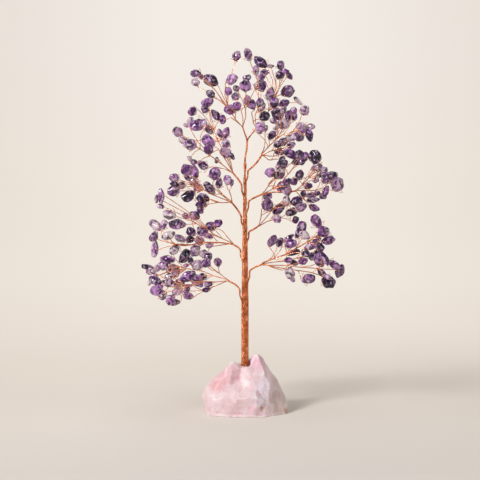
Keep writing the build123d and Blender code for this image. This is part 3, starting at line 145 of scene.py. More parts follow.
def node(tree, kind, inputs=None, stops=(), **settings):
    """Add a node with its inputs, its ramp's stops and its settings, and give its outputs."""
    added = tree.nodes.new(kind)
    for name, value in settings.items():
        setattr(added, name, value)
    for name, value in (inputs or {}).items():
        feed(tree, added.inputs[name], value)
    for index, (place, colour) in enumerate(stops):
        elements = added.color_ramp.elements
        if index >= len(elements):
            elements.new(place)
        elements[index].position = place
        elements[index].color = linear(colour) if isinstance(colour, str) else (colour, colour, colour, 1)
    return added.outputs


def new_material(name, inputs):
    """A material with one Principled shader, whose inputs a function of its tree gives."""
    material = bpy.data.materials.new(name)
    material.use_nodes = True
    tree = material.node_tree
    for socket_name, value in inputs(tree).items():
        feed(tree, tree.nodes["Principled BSDF"].inputs[socket_name], value)
    return material


def patch(tree, where, centre_mm, radii_mm):
    """1 inside a soft ellipsoid at a place in the frame, 0 outside it."""
    shift = tuple(-centre * MM for centre in centre_mm)
    scale = tuple(1 / (radius * MM) for radius in radii_mm)
    moved = node(tree, VECTORS, {0: where, 1: shift}, operation="ADD")[0]
    scaled = node(tree, VECTORS, {0: moved, 1: scale}, operation="MULTIPLY")[0]
    away = node(tree, VECTORS, {0: scaled}, operation="LENGTH")["Value"]
    return node(tree, RANGE, {"Value": away, "From Min": 1 + PATCH_EDGE, "From Max": 1 - PATCH_EDGE},
                interpolation_type="SMOOTHSTEP")[0]


def rose_quartz(tree):
    """Broken rose quartz: light sinks in and comes back pink.

    Its ridges are paler, partly chipped wear and partly painted highlight, and its hollows have painted
    shade in a darker pink.
    """
    where = node(tree, "ShaderNodeTexCoord")["Object"]
    clouds = node(tree, NOISE, {"Vector": where, "Scale": 1 / CLOUD, "Detail": 4, "Distortion": 0.6})[0]
    colour = node(tree, RAMP, {"Fac": clouds}, ((0.30, "#D6B6BD"), (0.52, "#DDC3C8"), (0.72, "#E1CFD4")))[0]
    hearts = node(tree, NOISE, {"Vector": where, "Scale": 1 / HEART, "Detail": 3, "Roughness": 0.6})[0]
    pink = node(tree, RAMP, {"Fac": hearts}, ((0.56, 0.0), (0.74, 0.6)))[0]
    colour = node(tree, MIX, {0: pink, BELOW: colour, ABOVE: "#DDB0B8"}, data_type="RGBA")[MIXED]
    for centre, radii, tint in TINTS_AND_PAINTED_LIGHT_MM:
        inside = patch(tree, where, centre, radii)
        colour = node(tree, MIX, {0: inside, BELOW: colour, ABOVE: tint}, data_type="RGBA")[MIXED]
    # Paler ridges: partly the whitened wear of chipped edges, partly a painted highlight along them.
    relief = node(tree, "ShaderNodeAttribute", attribute_name="relief_mm")["Fac"]
    ridges = node(tree, RANGE, {"Value": relief, "From Min": 0.06, "From Max": 0.35})[0]
    chips = node(tree, NOISE, {"Vector": where, "Scale": 1 / CHIPPING, "Detail": 3})[0]
    chipped = node(tree, RAMP, {"Fac": chips}, ((0.42, 0.0), (0.62, 0.75)))[0]
    white = node(tree, MATH, {0: ridges, 1: chipped}, operation="MULTIPLY")[0]
    colour = node(tree, MIX, {0: white, BELOW: colour, ABOVE: "#F0E4E3"}, data_type="RGBA")[MIXED]
    # Painted shade: the hollows of the relief are painted a darker pink.
    painted_shade_valleys = node(tree, RANGE, {"Value": relief, "From Min": -0.05, "From Max": -0.4})[0]
    colour = node(tree, MIX, {0: painted_shade_valleys, BELOW: colour, ABOVE: "#CF9FA8"}, data_type="RGBA")[MIXED]
    veins = node(tree, NOISE, {
        "Vector": where, "Scale": 1 / VEIN, "Detail": 6, "Roughness": 0.62, "Distortion": 1.1})[0]
    milky = node(tree, RAMP, {"Fac": veins}, ((0.47, 0.0), (0.50, 0.45), (0.53, 0.0)))[0]
    colour = node(tree, MIX, {0: milky, BELOW: colour, ABOVE: "#F3E9EA"}, data_type="RGBA")[MIXED]
    speckle = node(tree, NOISE, {
        "Vector": where, "Scale": 1 / SPECKLE, "Detail": 5, "Roughness": 0.7, "Distortion": 0.8})[0]
    for centre, radii in STAINED_MM:
        inside = patch(tree, where, centre, radii)
        spots = node(tree, MATH, {0: inside, 1: speckle}, operation="MULTIPLY")[0]
        rust = node(tree, RAMP, {"Fac": spots}, ((0.40, 0.0), (0.56, 0.9)))[0]
        colour = node(tree, MIX, {0: rust, BELOW: colour, ABOVE: "#B5763A"}, data_type="RGBA")[MIXED]
    grain = node(tree, NOISE, {"Vector": where, "Scale": 1 / BROKEN_GRAIN, "Detail": 8, "Roughness": 0.6})[0]
    return {
        "Base Color": colour,
        "Roughness": node(tree, RAMP, {"Fac": hearts}, ((0.3, 0.30), (0.7, 0.48)))[0],
        "IOR": 1.54,
        "Subsurface Weight": 0.45,
        "Subsurface Radius": QUARTZ_GLOW,
        "Subsurface Scale": 1.0,
        "Normal": node(tree, "ShaderNodeBump", {
            "Strength": 0.35, "Distance": BROKEN_DEPTH, "Height": grain})["Normal"],
    }


quartz = new_material("rose_quartz_broken_face", rose_quartz)


def merged_copy(node_name):
    """A CAD node's mesh as a bmesh with its doubled corners merged."""
    mesh = bmesh.new()
    mesh.from_mesh(frame["nodes"][node_name].data)
    bmesh.ops.remove_doubles(mesh, verts=mesh.verts, dist=DOUBLES)
    return mesh


def new_object(name, mesh):
    """An object for a mesh, in the scene."""
    made = bpy.data.objects.new(name, mesh)
    bpy.context.scene.collection.objects.link(made)
    return made


def new_tree(name, inputs):
    """A Geometry Nodes tree with its named inputs, and its input node's outputs."""
    tree = bpy.data.node_groups.new(name, "GeometryNodeTree")
    tree.interface.new_socket("Geometry", in_out="INPUT", socket_type="NodeSocketGeometry")
    tree.interface.new_socket("Geometry", in_out="OUTPUT", socket_type="NodeSocketGeometry")
    for input_name, kind, value in inputs:
        tree.interface.new_socket(input_name, in_out="INPUT", socket_type=kind).default_value = value
    return tree, node(tree, "NodeGroupInput")


def finish_tree(tree, geometry, material):
    """Close a tree with its faces smooth, its instances realised and its material set."""
    smooth = node(tree, "GeometryNodeSetShadeSmooth", {"Geometry": geometry})[0]
    real = node(tree, "GeometryNodeRealizeInstances", {"Geometry": smooth})[0]
    painted = node(tree, "GeometryNodeSetMaterial", {"Geometry": real, "Material": material})[0]
    node(tree, "NodeGroupOutput", {"Geometry": painted})


def made_by(tree, source, values, name):
    """The plain mesh that a tree makes of a source object, as a new object in its place."""
    modifier = source.modifiers.new(tree.name, "NODES")
    modifier.node_group = tree
    for item in tree.interface.items_tree:
        if item.item_type == "SOCKET" and item.in_out == "INPUT" and item.name in values:
            modifier[item.identifier] = values[item.name]
    source.update_tag()
    graph = bpy.context.evaluated_depsgraph_get()
    graph.update()
    mesh = bpy.data.meshes.new_from_object(source.evaluated_get(graph))
    bpy.data.objects.remove(source)
    mesh.name = name
    return new_object(name, mesh)


def quartz_tree():
    """Break the stone's faces with shallow scallops and waves, all but the ground underside."""
    tree, given = new_tree("broken_quartz", (
        ("Waves", "NodeSocketFloat", 0.0), ("Scallops", "NodeSocketFloat", 0.0),
        ("Seed", "NodeSocketFloat", 0.0),
    ))
    place = node(tree, "GeometryNodeInputPosition")[0]
    facing = node(tree, "GeometryNodeInputNormal")[0]
    wave = node(tree, NOISE, {"Vector": place, "W": given["Seed"], "Scale": 1 / WAVE, "Detail": 2},
                noise_dimensions="4D")[0]
    wave = node(tree, MATH, {0: wave, 1: 2.0, 2: WAVE_SHIFT}, operation="MULTIPLY_ADD")[0]
    wave = node(tree, MATH, {0: wave, 1: given["Waves"]}, operation="MULTIPLY")[0]
    warp = node(tree, NOISE, {"Vector": place, "Scale": 1 / WARP, "Detail": 1})["Color"]
    pushed = node(tree, VECTORS, {0: warp, 1: (WARP_PUSH, WARP_PUSH, WARP_PUSH)}, operation="MULTIPLY")[0]
    warped = node(tree, VECTORS, {0: place, 1: pushed}, operation="ADD")[0]
    cells = node(tree, "ShaderNodeTexVoronoi", {"Vector": warped, "Scale": 1 / SCALLOP, "Smoothness": 0.15},
                 feature="SMOOTH_F1")["Distance"]
    dips = node(tree, MATH, {0: cells, 1: SCALLOP_LEVEL}, operation="SUBTRACT")[0]
    dips = node(tree, MATH, {0: dips, 1: given["Scallops"]}, operation="MULTIPLY")[0]
    out = node(tree, MATH, {0: wave, 1: dips}, operation="ADD")[0]
    height = node(tree, "ShaderNodeSeparateXYZ", {"Vector": place})["Z"]
    above = node(tree, RANGE, {"Value": height, "From Min": GROUND_FROM, "From Max": GROUND_TO},
                 interpolation_type="SMOOTHSTEP")[0]
    out = node(tree, MATH, {0: out, 1: above}, operation="MULTIPLY")[0]
    offset = node(tree, VECTORS, {0: facing, "Scale": out}, operation="SCALE")[0]
    moved = node(tree, "GeometryNodeSetPosition", {"Geometry": given["Geometry"], "Offset": offset})[0]
    finish_tree(tree, moved, quartz)
    return tree


stone_shape = merged_copy("rose_quartz_base")
stone_mesh = bpy.data.meshes.new("stone_source")
stone_shape.to_mesh(stone_mesh)
stone_shape.free()
stone_source = new_object("stone_source", stone_mesh)
remeshed = stone_source.modifiers.new("remeshed", "REMESH")
remeshed.mode = "VOXEL"
remeshed.voxel_size = STONE_GRAIN
worn = stone_source.modifiers.new("worn", "SMOOTH")
worn.factor = 0.5
worn.iterations = WEAR_ROUNDS
stone = made_by(quartz_tree(), stone_source, {
    "Waves": WAVE_DEPTH, "Scallops": SCALLOP_DEPTH, "Seed": BREAK_SEED}, "rough_rose_quartz")


def mark_relief(mesh):
    """Store how far each point stands out of the surface round it, in millimetres."""
    places = np.zeros(len(mesh.vertices) * 3)
    mesh.vertices.foreach_get("co", places)
    places = places.reshape(-1, 3)
    facing = np.zeros(len(mesh.vertices) * 3)
    mesh.vertex_normals.foreach_get("vector", facing)
    edges = np.zeros(len(mesh.edges) * 2, dtype=int)
    mesh.edges.foreach_get("vertices", edges)
    first, second = edges.reshape(-1, 2).T
    ends = np.concatenate((first, second))
    others = np.concatenate((second, first))
    neighbours = np.bincount(ends, minlength=len(places))[:, None]
    levelled = places
    for _ in range(RELIEF_ROUNDS):
        sums = [np.bincount(ends, levelled[others, axis], len(places)) for axis in range(3)]
        levelled = np.stack(sums, axis=1) / neighbours
    relief = np.sum((places - levelled) * facing.reshape(-1, 3), axis=1) / MM
    mesh.attributes.new("relief_mm", "FLOAT", "POINT").data.foreach_set("value", relief.astype(np.float32))


mark_relief(stone.data)
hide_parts("rose_quartz_base")
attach(stone, "trunk")


# Glue: clear resin that was poured round the foot of the trunk and set in the drilled hole. Only its
# ring at the top shows, as a smooth wet-looking surface that takes the pink of the stone.
GLUE_CLOUD = 2 * MM
GLUE_GLOW = (2 * MM, 1 * MM, 1 * MM)


def set_glue(tree):
    """Set clear resin: glossier and smoother than the stone, with faint clouds in it."""
    where = node(tree, "ShaderNodeTexCoord")["Object"]
    clouds = node(tree, NOISE, {"Vector": where, "Scale": 1 / GLUE_CLOUD, "Detail": 3})[0]
    return {
        "Base Color": node(tree, RAMP, {"Fac": clouds}, ((0.35, "#D9B9B0"), (0.65, "#E9CFC9")))[0],
        "Roughness": 0.18,
        "IOR": 1.5,
        "Subsurface Weight": 0.3,
        "Subsurface Radius": GLUE_GLOW,
        "Subsurface Scale": 1.0,
    }


glue = new_material("clear_set_glue", set_glue)
frame["nodes"]["glue_sleeve"].data.materials.clear()
frame["nodes"]["glue_sleeve"].data.materials.append(glue)


# Trunk: ten leads of drawn copper wire, one from every branch and two from the crown, twisted together
# round a filler of cut ends. Wire is laid round the middle line of each of the CAD model's rods. Three
# fine wires lie together here and are drawn as one, so that the twist shows.
TRUNK_WIRE = 0.5 * MM
TRUNK_PITCH = 12 * MM       # one turn of the wires round a lead
TRUNK_STEP = 1.0 * MM
WIRE_SIDES = 6
LEAST_WIRES = 3             # in the thinnest strand
CORE_SHARE = 0.8            # the filler lies this share of a wire's diameter inside the strand's outside
TURN_SHARE = 0.37           # of a turn between strands, so that they don't twist in step
TARNISH = 3 * MM            # size of the darker places along a wire
HANDLING = 1.2 * MM         # of the dull marks of fingers and pliers
DRAWING = 0.4 * MM          # of the die's scratches, drawn coarser than real ones so that they show
DRAWING_DEPTH = 0.05 * MM
WELD = 0.0005 * MM          # corners of a CAD wire closer than this are one
FLAT = 0.9995               # cosine between the normals of two faces of one flat end
END_FACES = 12              # a rod's flat end has more faces than this
ROUND = 1.02                # and its rim is round to this ratio


def drawn_copper(name, stops):
    """Drawn copper in the colours of its tarnish: soft mirror lights on pale peach to red-brown."""
    def inputs(tree):
        where = node(tree, "ShaderNodeTexCoord")["Object"]
        tarnish = node(tree, NOISE, {"Vector": where, "Scale": 1 / TARNISH, "Detail": 3, "Roughness": 0.6})[0]
        marks = node(tree, NOISE, {"Vector": where, "Scale": 1 / HANDLING, "Detail": 3})[0]
        scratches = node(tree, NOISE, {"Vector": where, "Scale": 1 / DRAWING, "Detail": 2})[0]
        return {
            "Base Color": node(tree, RAMP, {"Fac": tarnish}, stops)[0],
            "Metallic": 1.0,
            "Roughness": node(tree, RAMP, {"Fac": marks}, ((0.3, 0.16), (0.7, 0.28)))[0],
            "Normal": node(tree, "ShaderNodeBump", {
                "Strength": 0.15, "Distance": DRAWING_DEPTH, "Height": scratches})["Normal"],
        }
    return new_material(name, inputs)


copper = drawn_copper("drawn_copper_strand", ((0.34, "#B45E34"), (0.52, "#E8915E"), (0.66, "#FCC49C")))


def plain_mesh(node_name):
    """A CAD node's corners, with doubles merged, and its faces."""
    source = frame["nodes"][node_name].data
    corners = np.zeros(len(source.vertices) * 3)
    source.vertices.foreach_get("co", corners)
    loops = np.zeros(len(source.loops), dtype=int)
    source.loops.foreach_get("vertex_index", loops)
    steps = np.round(corners.reshape(-1, 3) / WELD)
    unique, first, inverse = np.unique(steps, axis=0, return_index=True, return_inverse=True)
    faces = inverse.reshape(-1)[loops].reshape(-1, 3)
    faces = faces[(faces[:, 0] != faces[:, 1]) & (faces[:, 1] != faces[:, 2]) & (faces[:, 2] != faces[:, 0])]
    return corners.reshape(-1, 3)[first], faces


def spread_label(labels, links):
    """Give each linked pair the lower of their two labels, until nothing changes."""
    while True:
        before = labels.copy()
        lower = np.minimum(labels[links[:, 0]], labels[links[:, 1]])
        np.minimum.at(labels, links[:, 0], lower)
        np.minimum.at(labels, links[:, 1], lower)
        labels = labels[labels]
        if (labels == before).all():
            return labels


def centre_lines(node_name):
    """The middle line and the radius of each swept rod of a CAD node.

    A rod's flat end is the one place where many faces share a plane. From there its rings of corners
    follow one after another, and each ring's middle is a point of the line."""
    corners, faces = plain_mesh(node_name)
    first, second, third = (corners[faces[:, index]] for index in range(3))
    across = np.cross(second - first, third - first)
    normals = across / np.maximum(np.linalg.norm(across, axis=1), np.finfo(float).tiny)[:, None]
    sides = np.vstack((faces[:, (0, 1)], faces[:, (1, 2)], faces[:, (2, 0)]))
    owners = np.tile(np.arange(len(faces)), 3)
    keys = np.sort(sides, axis=1)
    order = np.lexsort((keys[:, 1], keys[:, 0]))
    keys = keys[order]
    owners = owners[order]
    same = (keys[1:] == keys[:-1]).all(axis=1)
    pairs = np.stack((owners[:-1][same], owners[1:][same]), axis=1)
    links = keys[:-1][same]
    flat = pairs[np.sum(normals[pairs[:, 0]] * normals[pairs[:, 1]], axis=1) > FLAT]
    groups = spread_label(np.arange(len(faces)), flat)
    solids = spread_label(np.arange(len(corners)), links)
    ends, counts = np.unique(groups, return_counts=True)
    started = set()
    level = np.full(len(corners), -1)
    for end in ends[counts > END_FACES]:
        ring = np.unique(faces[groups == end])
        solid = solids[ring[0]]
        away = np.linalg.norm(corners[ring] - corners[ring].mean(axis=0), axis=1)
        if solid not in started and away.max() < ROUND * away.min():
            started.add(solid)
            level[ring] = 0
    current = 0
    while True:
        first, second = links[:, 0], links[:, 1]
        ahead = np.concatenate((second[(level[first] == current) & (level[second] < 0)],
                                first[(level[second] == current) & (level[first] < 0)]))
        if not len(ahead):
            break
        current += 1
        level[ahead] = current
    lines = []
    for solid in sorted(started):
        members = np.nonzero(solids == solid)[0]
        rings = level[members]
        counts = np.bincount(rings, minlength=rings.max() + 1)
        sums = [np.bincount(rings, corners[members, axis]) for axis in range(3)]
        middles = np.stack(sums, axis=1) / counts[:, None]
        radius = np.linalg.norm(corners[members[rings == 0]] - middles[0], axis=1).mean()
        lines.append((middles, radius))
    return lines


def line_object(name, lines, attributes):
    """Lines as a mesh of edges, with a value of each line stored on all its points."""
    edges = []
    start = 0
    for line in lines:
        edges += [(start + index, start + index + 1) for index in range(len(line) - 1)]
        start += len(line)
    mesh = bpy.data.meshes.new(name)
    mesh.from_pydata(np.vstack(lines).tolist(), edges, [])
    for attribute, values in attributes.items():
        layer = mesh.attributes.new(attribute, "FLOAT", "POINT")
        spread = np.concatenate([np.full(len(line), value) for line, value in zip(lines, values)])
        layer.data.foreach_set("value", spread.astype(np.float32))
    return new_object(name, mesh)


def lay_tree():
    """Lay a ring of wires round each line, twisted along it, over a core that fills the middle."""
    tree, given = new_tree("laid_strand", (
        ("Wire diameter", "NodeSocketFloat", 0.0), ("Pitch", "NodeSocketFloat", 0.0),
        ("Step", "NodeSocketFloat", 0.0), ("Sides", "NodeSocketInt", WIRE_SIDES),
    ))
    curve = node(tree, "GeometryNodeMeshToCurve", {"Mesh": given["Geometry"]})[0]
    evened = node(tree, "GeometryNodeResampleCurve", {"Curve": curve, "Length": given["Step"]},
                  mode="LENGTH")[0]
    radius, count, turn = (
        node(tree, "GeometryNodeInputNamedAttribute", {"Name": name}, data_type="FLOAT")[0]
        for name in ("strand_radius", "strand_wires", "strand_turn"))
    copies = node(tree, "GeometryNodeDuplicateElements", {"Geometry": evened, "Amount": count},
                  domain="SPLINE")
    half_wire = node(tree, MATH, {0: given["Wire diameter"], 1: 0.5}, operation="MULTIPLY")[0]
    ring = node(tree, MATH, {0: radius, 1: half_wire}, operation="SUBTRACT")[0]
    along = node(tree, "GeometryNodeSplineParameter")["Length"]
    start = node(tree, MATH, {0: copies["Duplicate Index"], 1: count}, operation="DIVIDE")[0]
    wound = node(tree, MATH, {0: along, 1: given["Pitch"]}, operation="DIVIDE")[0]
    turns = node(tree, MATH, {0: start, 1: wound}, operation="ADD")[0]
    turns = node(tree, MATH, {0: turns, 1: turn}, operation="ADD")[0]
    angle = node(tree, MATH, {0: turns, 1: 2 * math.pi}, operation="MULTIPLY")[0]
    cosine = node(tree, MATH, {0: angle}, operation="COSINE")[0]
    sine = node(tree, MATH, {0: angle}, operation="SINE")[0]
    cosine = node(tree, MATH, {0: cosine, 1: ring}, operation="MULTIPLY")[0]
    sine = node(tree, MATH, {0: sine, 1: ring}, operation="MULTIPLY")[0]
    tangent = node(tree, "GeometryNodeInputTangent")[0]
    normal = node(tree, "GeometryNodeInputNormal")[0]
    third = node(tree, VECTORS, {0: tangent, 1: normal}, operation="CROSS_PRODUCT")[0]
    sideways = node(tree, VECTORS, {0: normal, "Scale": cosine}, operation="SCALE")[0]
    upright = node(tree, VECTORS, {0: third, "Scale": sine}, operation="SCALE")[0]
    offset = node(tree, VECTORS, {0: sideways, 1: upright}, operation="ADD")[0]
    laid = node(tree, "GeometryNodeSetPosition", {"Geometry": copies["Geometry"], "Offset": offset})[0]
    section = node(tree, "GeometryNodeCurvePrimitiveCircle", {
        "Resolution": given["Sides"], "Radius": half_wire})[0]
    wires = node(tree, "GeometryNodeCurveToMesh", {
        "Curve": laid, "Profile Curve": section, "Fill Caps": True})[0]
    filled = node(tree, MATH, {0: given["Wire diameter"], 1: CORE_SHARE}, operation="MULTIPLY")[0]
    core_radius = node(tree, MATH, {0: radius, 1: filled}, operation="SUBTRACT")[0]
    unit_section = node(tree, "GeometryNodeCurvePrimitiveCircle", {
        "Resolution": given["Sides"], "Radius": 1.0})[0]
    core = node(tree, "GeometryNodeCurveToMesh", {
        "Curve": evened, "Profile Curve": unit_section, "Scale": core_radius, "Fill Caps": True})[0]
    finish_tree(tree, node(tree, "GeometryNodeJoinGeometry", {0: [core, wires]})[0], copper)
    return tree


strand_lay = lay_tree()


def laid_strands(node_name, name, body, wire, pitch, step):
    """Replace a CAD node's rods by strands of wire laid round them."""
    lines = centre_lines(node_name)
    radii = [radius for _, radius in lines]
    wires = [max(LEAST_WIRES, int(math.pi / math.asin(wire / 2 / (radius - wire / 2)))) for radius in radii]
    source = line_object(name + "_lines", [line for line, _ in lines], {
        "strand_radius": radii, "strand_wires": wires,
        "strand_turn": [index * TURN_SHARE % 1 for index in range(len(lines))],
    })
    made = made_by(strand_lay, source, {
        "Wire diameter": wire, "Pitch": pitch, "Step": step, "Sides": WIRE_SIDES}, name)
    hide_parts(node_name)
    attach(made, body)


laid_strands("trunk_leads", "twisted_trunk_leads", "trunk", TRUNK_WIRE, TRUNK_PITCH, TRUNK_STEP)
frame["nodes"]["trunk_core"].data.materials.clear()
frame["nodes"]["trunk_core"].data.materials.append(copper)


# Branch stems and sprigs: the same copper, in strands that divide and hold fewer wires towards the tips,
# where they are twisted more tightly. Each stem starts upright beside the trunk, bound in with its lead.
STEM_WIRE = 0.33 * MM
STEM_PITCH = 5.5 * MM
STEM_STEP = 0.5 * MM
branches = [name for name in frame["bodies"] if name != "trunk"]
for branch in branches:
    laid_strands(branch + "_stems", branch + "_twisted_stems", branch, STEM_WIRE, STEM_PITCH, STEM_STEP)


# Twigs: a fine copper wire for each chip, coloured as a paler copy of the strands' copper, which is painted
#  highlight. It is threaded through the chip's bore, folded back beside it and twisted on itself down to the
#  sprig, so the chip sits in a small loop.
TWIG_WIRE = 0.40 * MM
TWIG_PITCH = 2.4 * MM       # of the twist, which real twigs have every two or three millimetres
TWIG_SIDES = 5
TWIG_STEP = 0.45 * MM
FOOT_POINTS = 2             # the first points of a line lie in the foot and aren't measured
LOOP_START = 0.56 * MM      # the legs part for the chip where they are further apart than this
LOOP_DRAWN = 0.08           # share by which the loop is drawn up against its chip
LOOP_EASE = 4               # points over which the drawing up begins
LEGS_CLOSE = 1.2 * MM       # length below the loop in which the legs come together
LEGS_APART = 1.02           # of a wire's diameter, between the middles of twisted legs
# Painted highlight: a paler copy of the strands' copper, so that the fine twigs look lit.
paler_copper_painted_highlight = drawn_copper("fine_copper_wire_painted_highlight", (
    (0.34, "#E59068"), (0.52, "#F8B28C"), (0.66, "#FFD8BC")))


def twig_tree():
    """Draw a round wire along each line."""
    tree, given = new_tree("twig_wire", (
        ("Wire diameter", "NodeSocketFloat", 0.0), ("Sides", "NodeSocketInt", TWIG_SIDES),
    ))
    curve = node(tree, "GeometryNodeMeshToCurve", {"Mesh": given["Geometry"]})[0]
    half_wire = node(tree, MATH, {0: given["Wire diameter"], 1: 0.5}, operation="MULTIPLY")[0]
    section = node(tree, "GeometryNodeCurvePrimitiveCircle", {
        "Resolution": given["Sides"], "Radius": half_wire})[0]
    wire = node(tree, "GeometryNodeCurveToMesh", {
        "Curve": curve, "Profile Curve": section, "Fill Caps": True})[0]
    finish_tree(tree, wire, paler_copper_painted_highlight)
    return tree


def resampled(line, step):
    """A line's points at even steps along it."""
    lengths = np.concatenate(((0.0,), np.cumsum(np.linalg.norm(np.diff(line, axis=0), axis=1))))
    count = max(2, int(round(lengths[-1] / step)) + 1)
    places = np.linspace(0, lengths[-1], count)
    return np.stack([np.interp(places, lengths, line[:, axis]) for axis in range(3)], axis=1)


def twisted_hairpin(line):
    """The folded wire of a twig, its two legs twisted together below the chip."""
    points = resampled(line, TWIG_STEP)
    half = len(points) // 2
    legs = np.stack((points[:half], points[::-1][:half]))
    apart = np.linalg.norm(legs[0] - legs[1], axis=1)
    foot = FOOT_POINTS
    while foot < half - 1 and apart[foot] < LOOP_START:
        foot += 1
    middle = legs[:, :foot].mean(axis=0)
    ahead = np.gradient(middle, axis=0)
    ahead /= np.linalg.norm(ahead, axis=1)[:, None]
    side = legs[0, :foot] - legs[1, :foot]
    side -= ahead * np.sum(side * ahead, axis=1)[:, None]
    side /= np.linalg.norm(side, axis=1)[:, None]
    third = np.cross(ahead, side)
    steps = np.linalg.norm(np.diff(middle, axis=0), axis=1)
    to_loop = np.concatenate((np.cumsum(steps[::-1])[::-1], (0.0,)))
    angle = (2 * math.pi * to_loop / TWIG_PITCH)[:, None]
    closed = np.clip(to_loop / LEGS_CLOSE, 0, 1)[:, None]
    spread = (apart[:foot, None] * (1 - closed) + TWIG_WIRE * LEGS_APART * closed) / 2
    turned = (side * np.cos(angle) + third * np.sin(angle)) * spread
    legs[0, :foot] = middle + turned
    legs[1, :foot] = middle - turned
    line = np.vstack((legs[0], points[half:len(points) - half], legs[1][::-1]))
    loop = line[foot:len(line) - foot]
    from_foot = np.minimum(np.arange(len(loop)), np.arange(len(loop))[::-1])[:, None]
    drawn = LOOP_DRAWN * np.clip(from_foot / LOOP_EASE, 0, 1)
    line[foot:len(line) - foot] += (loop.mean(axis=0) - loop) * drawn
    return line


def keep_in_box(mesh):
    """Draw the few points that swell past the CAD box back to it."""
    places = np.zeros(len(mesh.vertices) * 3)
    mesh.vertices.foreach_get("co", places)
    kept = np.clip(places.reshape(-1, 3), cad_low, cad_high)
    mesh.vertices.foreach_set("co", kept.reshape(-1))


twig_wires = twig_tree()
for branch in branches:
    hairpins = [twisted_hairpin(line) for line, _ in centre_lines(branch + "_twigs")]
    source = line_object(branch + "_twig_lines", hairpins, {})
    twigs = made_by(twig_wires, source, {
        "Wire diameter": TWIG_WIRE, "Sides": TWIG_SIDES}, branch + "_twisted_twigs")
    keep_in_box(twigs.data)
    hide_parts(branch + "_twigs")
    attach(twigs, branch)


# Chips: amethyst, broken small, drilled, and tumbled for days, so the corners are round but the shapes
# stay irregular and the skin is glassy. Colour lies in zones from near black violet to clear lilac, with
# milky and smoky clouds, and light comes through the thin parts. Each is strung on its twig's wire.
ZONE = 5.0 * MM             # width of a colour zone
MILK = 3.2 * MM             # of a milky cloud
SMOKE = 3.6 * MM            # of a smoky one
DENT = 2.0 * MM             # of the faint hollows in the polish
DENT_DEPTH = 0.2 * MM
AMETHYST_GLOW = (1.6 * MM, 1.0 * MM, 2.0 * MM)      # how far red, green and blue light goes in
SHADE_SPAN = 0.40           # how far apart the colour of stones of one tone may lie
KNOCK = 3.2 * MM            # width of the knocks and hollows of tumbling
KNOCK_DEPTH = 0.5 * MM
TUMBLE_ROUNDS = 2           # of rounding
REGROWTH = 1.10             # rounding draws a stone in, and this makes up for it
SAME_FACE = 0.03            # radians between faces that count as one
SHORT_EDGE = 0.25 * MM      # corners nearer together than this are worn into one
NUDGE_SHARE = 0.05          # of a corner's distance from the middle, by which it is moved at random
LEAST_WEAR, MOST_WEAR = -0.1, 0.85      # how sharp the edges stay
TUMBLING_SEED = 11


def amethyst(name, stops, clear, milk):
    """Tumbled amethyst in one tone: its zones, how clear it is, and the milk in it.

    The polished skin gives small sharp lights, and the depth of colour shifts across each stone. Where
    the surface turns edge-on, painted shade darkens it to near black violet."""
    def inputs(tree):
        where = node(tree, "ShaderNodeTexCoord")["Object"]
        shade = node(tree, "ShaderNodeAttribute", attribute_name="stone_shade")["Fac"]
        zones = node(tree, NOISE, {
            "Vector": where, "Scale": 1 / ZONE, "Detail": 1, "Roughness": 0.4, "Distortion": 0.8})[0]
        shift = node(tree, MATH, {0: shade, 1: SHADE_SPAN, 2: -SHADE_SPAN / 2}, operation="MULTIPLY_ADD")[0]
        zones = node(tree, MATH, {0: zones, 1: shift}, operation="ADD")[0]
        colour = node(tree, RAMP, {"Fac": zones}, stops)[0]
        clouds = node(tree, NOISE, {"Vector": where, "Scale": 1 / MILK, "Detail": 2, "Distortion": 0.8})[0]
        milky = node(tree, RAMP, {"Fac": clouds}, ((0.52, 0.0), (0.62, 0.8)))[0]
        colour = node(tree, MIX, {0: milky, BELOW: colour, ABOVE: milk}, data_type="RGBA")[MIXED]
        smoke = node(tree, NOISE, {
            "Vector": where, "Scale": 1 / SMOKE, "Detail": 1, "Roughness": 0.4, "Distortion": 1.0})[0]
        smoky = node(tree, RAMP, {"Fac": smoke}, ((0.40, 0.9), (0.47, 0.0)))[0]
        colour = node(tree, MIX, {0: smoky, BELOW: colour, ABOVE: "#220A2E"}, data_type="RGBA")[MIXED]
        # Painted shade: the colour goes to near black violet where the surface turns edge-on, for dark rims.
        facing = node(tree, "ShaderNodeLayerWeight", {"Blend": 0.3})["Facing"]
        painted_dark_rim = node(tree, RAMP, {"Fac": facing}, ((0.3, 0.0), (0.95, 0.7)))[0]
        colour = node(tree, MIX, {0: painted_dark_rim, BELOW: colour, ABOVE: "#241040"}, data_type="RGBA")[MIXED]
        dents = node(tree, NOISE, {"Vector": where, "Scale": 1 / DENT, "Detail": 2})[0]
        return {
            "Base Color": colour,
            "Roughness": node(tree, RAMP, {"Fac": clouds}, ((0.3, 0.03), (0.8, 0.12)))[0],
            "IOR": 1.544,
            "Transmission Weight": clear,
            "Subsurface Weight": 0.12,
            "Subsurface Radius": AMETHYST_GLOW,
            "Subsurface Scale": 1.0,
            "Normal": node(tree, "ShaderNodeBump", {
                "Strength": 0.12, "Distance": DENT_DEPTH, "Height": dents})["Normal"],
        }
    return new_material(name, inputs)


amethysts = {
    "dark": amethyst("tumbled_amethyst_dark", (
        (0.36, "#1E0A2C"), (0.47, "#47195F"), (0.56, "#7E3690"), (0.68, "#C78CD2")), 0.30, "#DBB8DE"),
    "violet": amethyst("tumbled_amethyst_violet", (
        (0.34, "#45195C"), (0.46, "#8D4298"), (0.56, "#BB74C2"), (0.68, "#E6C2E6")), 0.40, "#F6E4F2"),
    "pale": amethyst("tumbled_amethyst_pale", (
        (0.34, "#80508A"), (0.46, "#BA88B8"), (0.56, "#DEB8D6"), (0.68, "#F8E8F0")), 0.50, "#FFF6F8"),
}


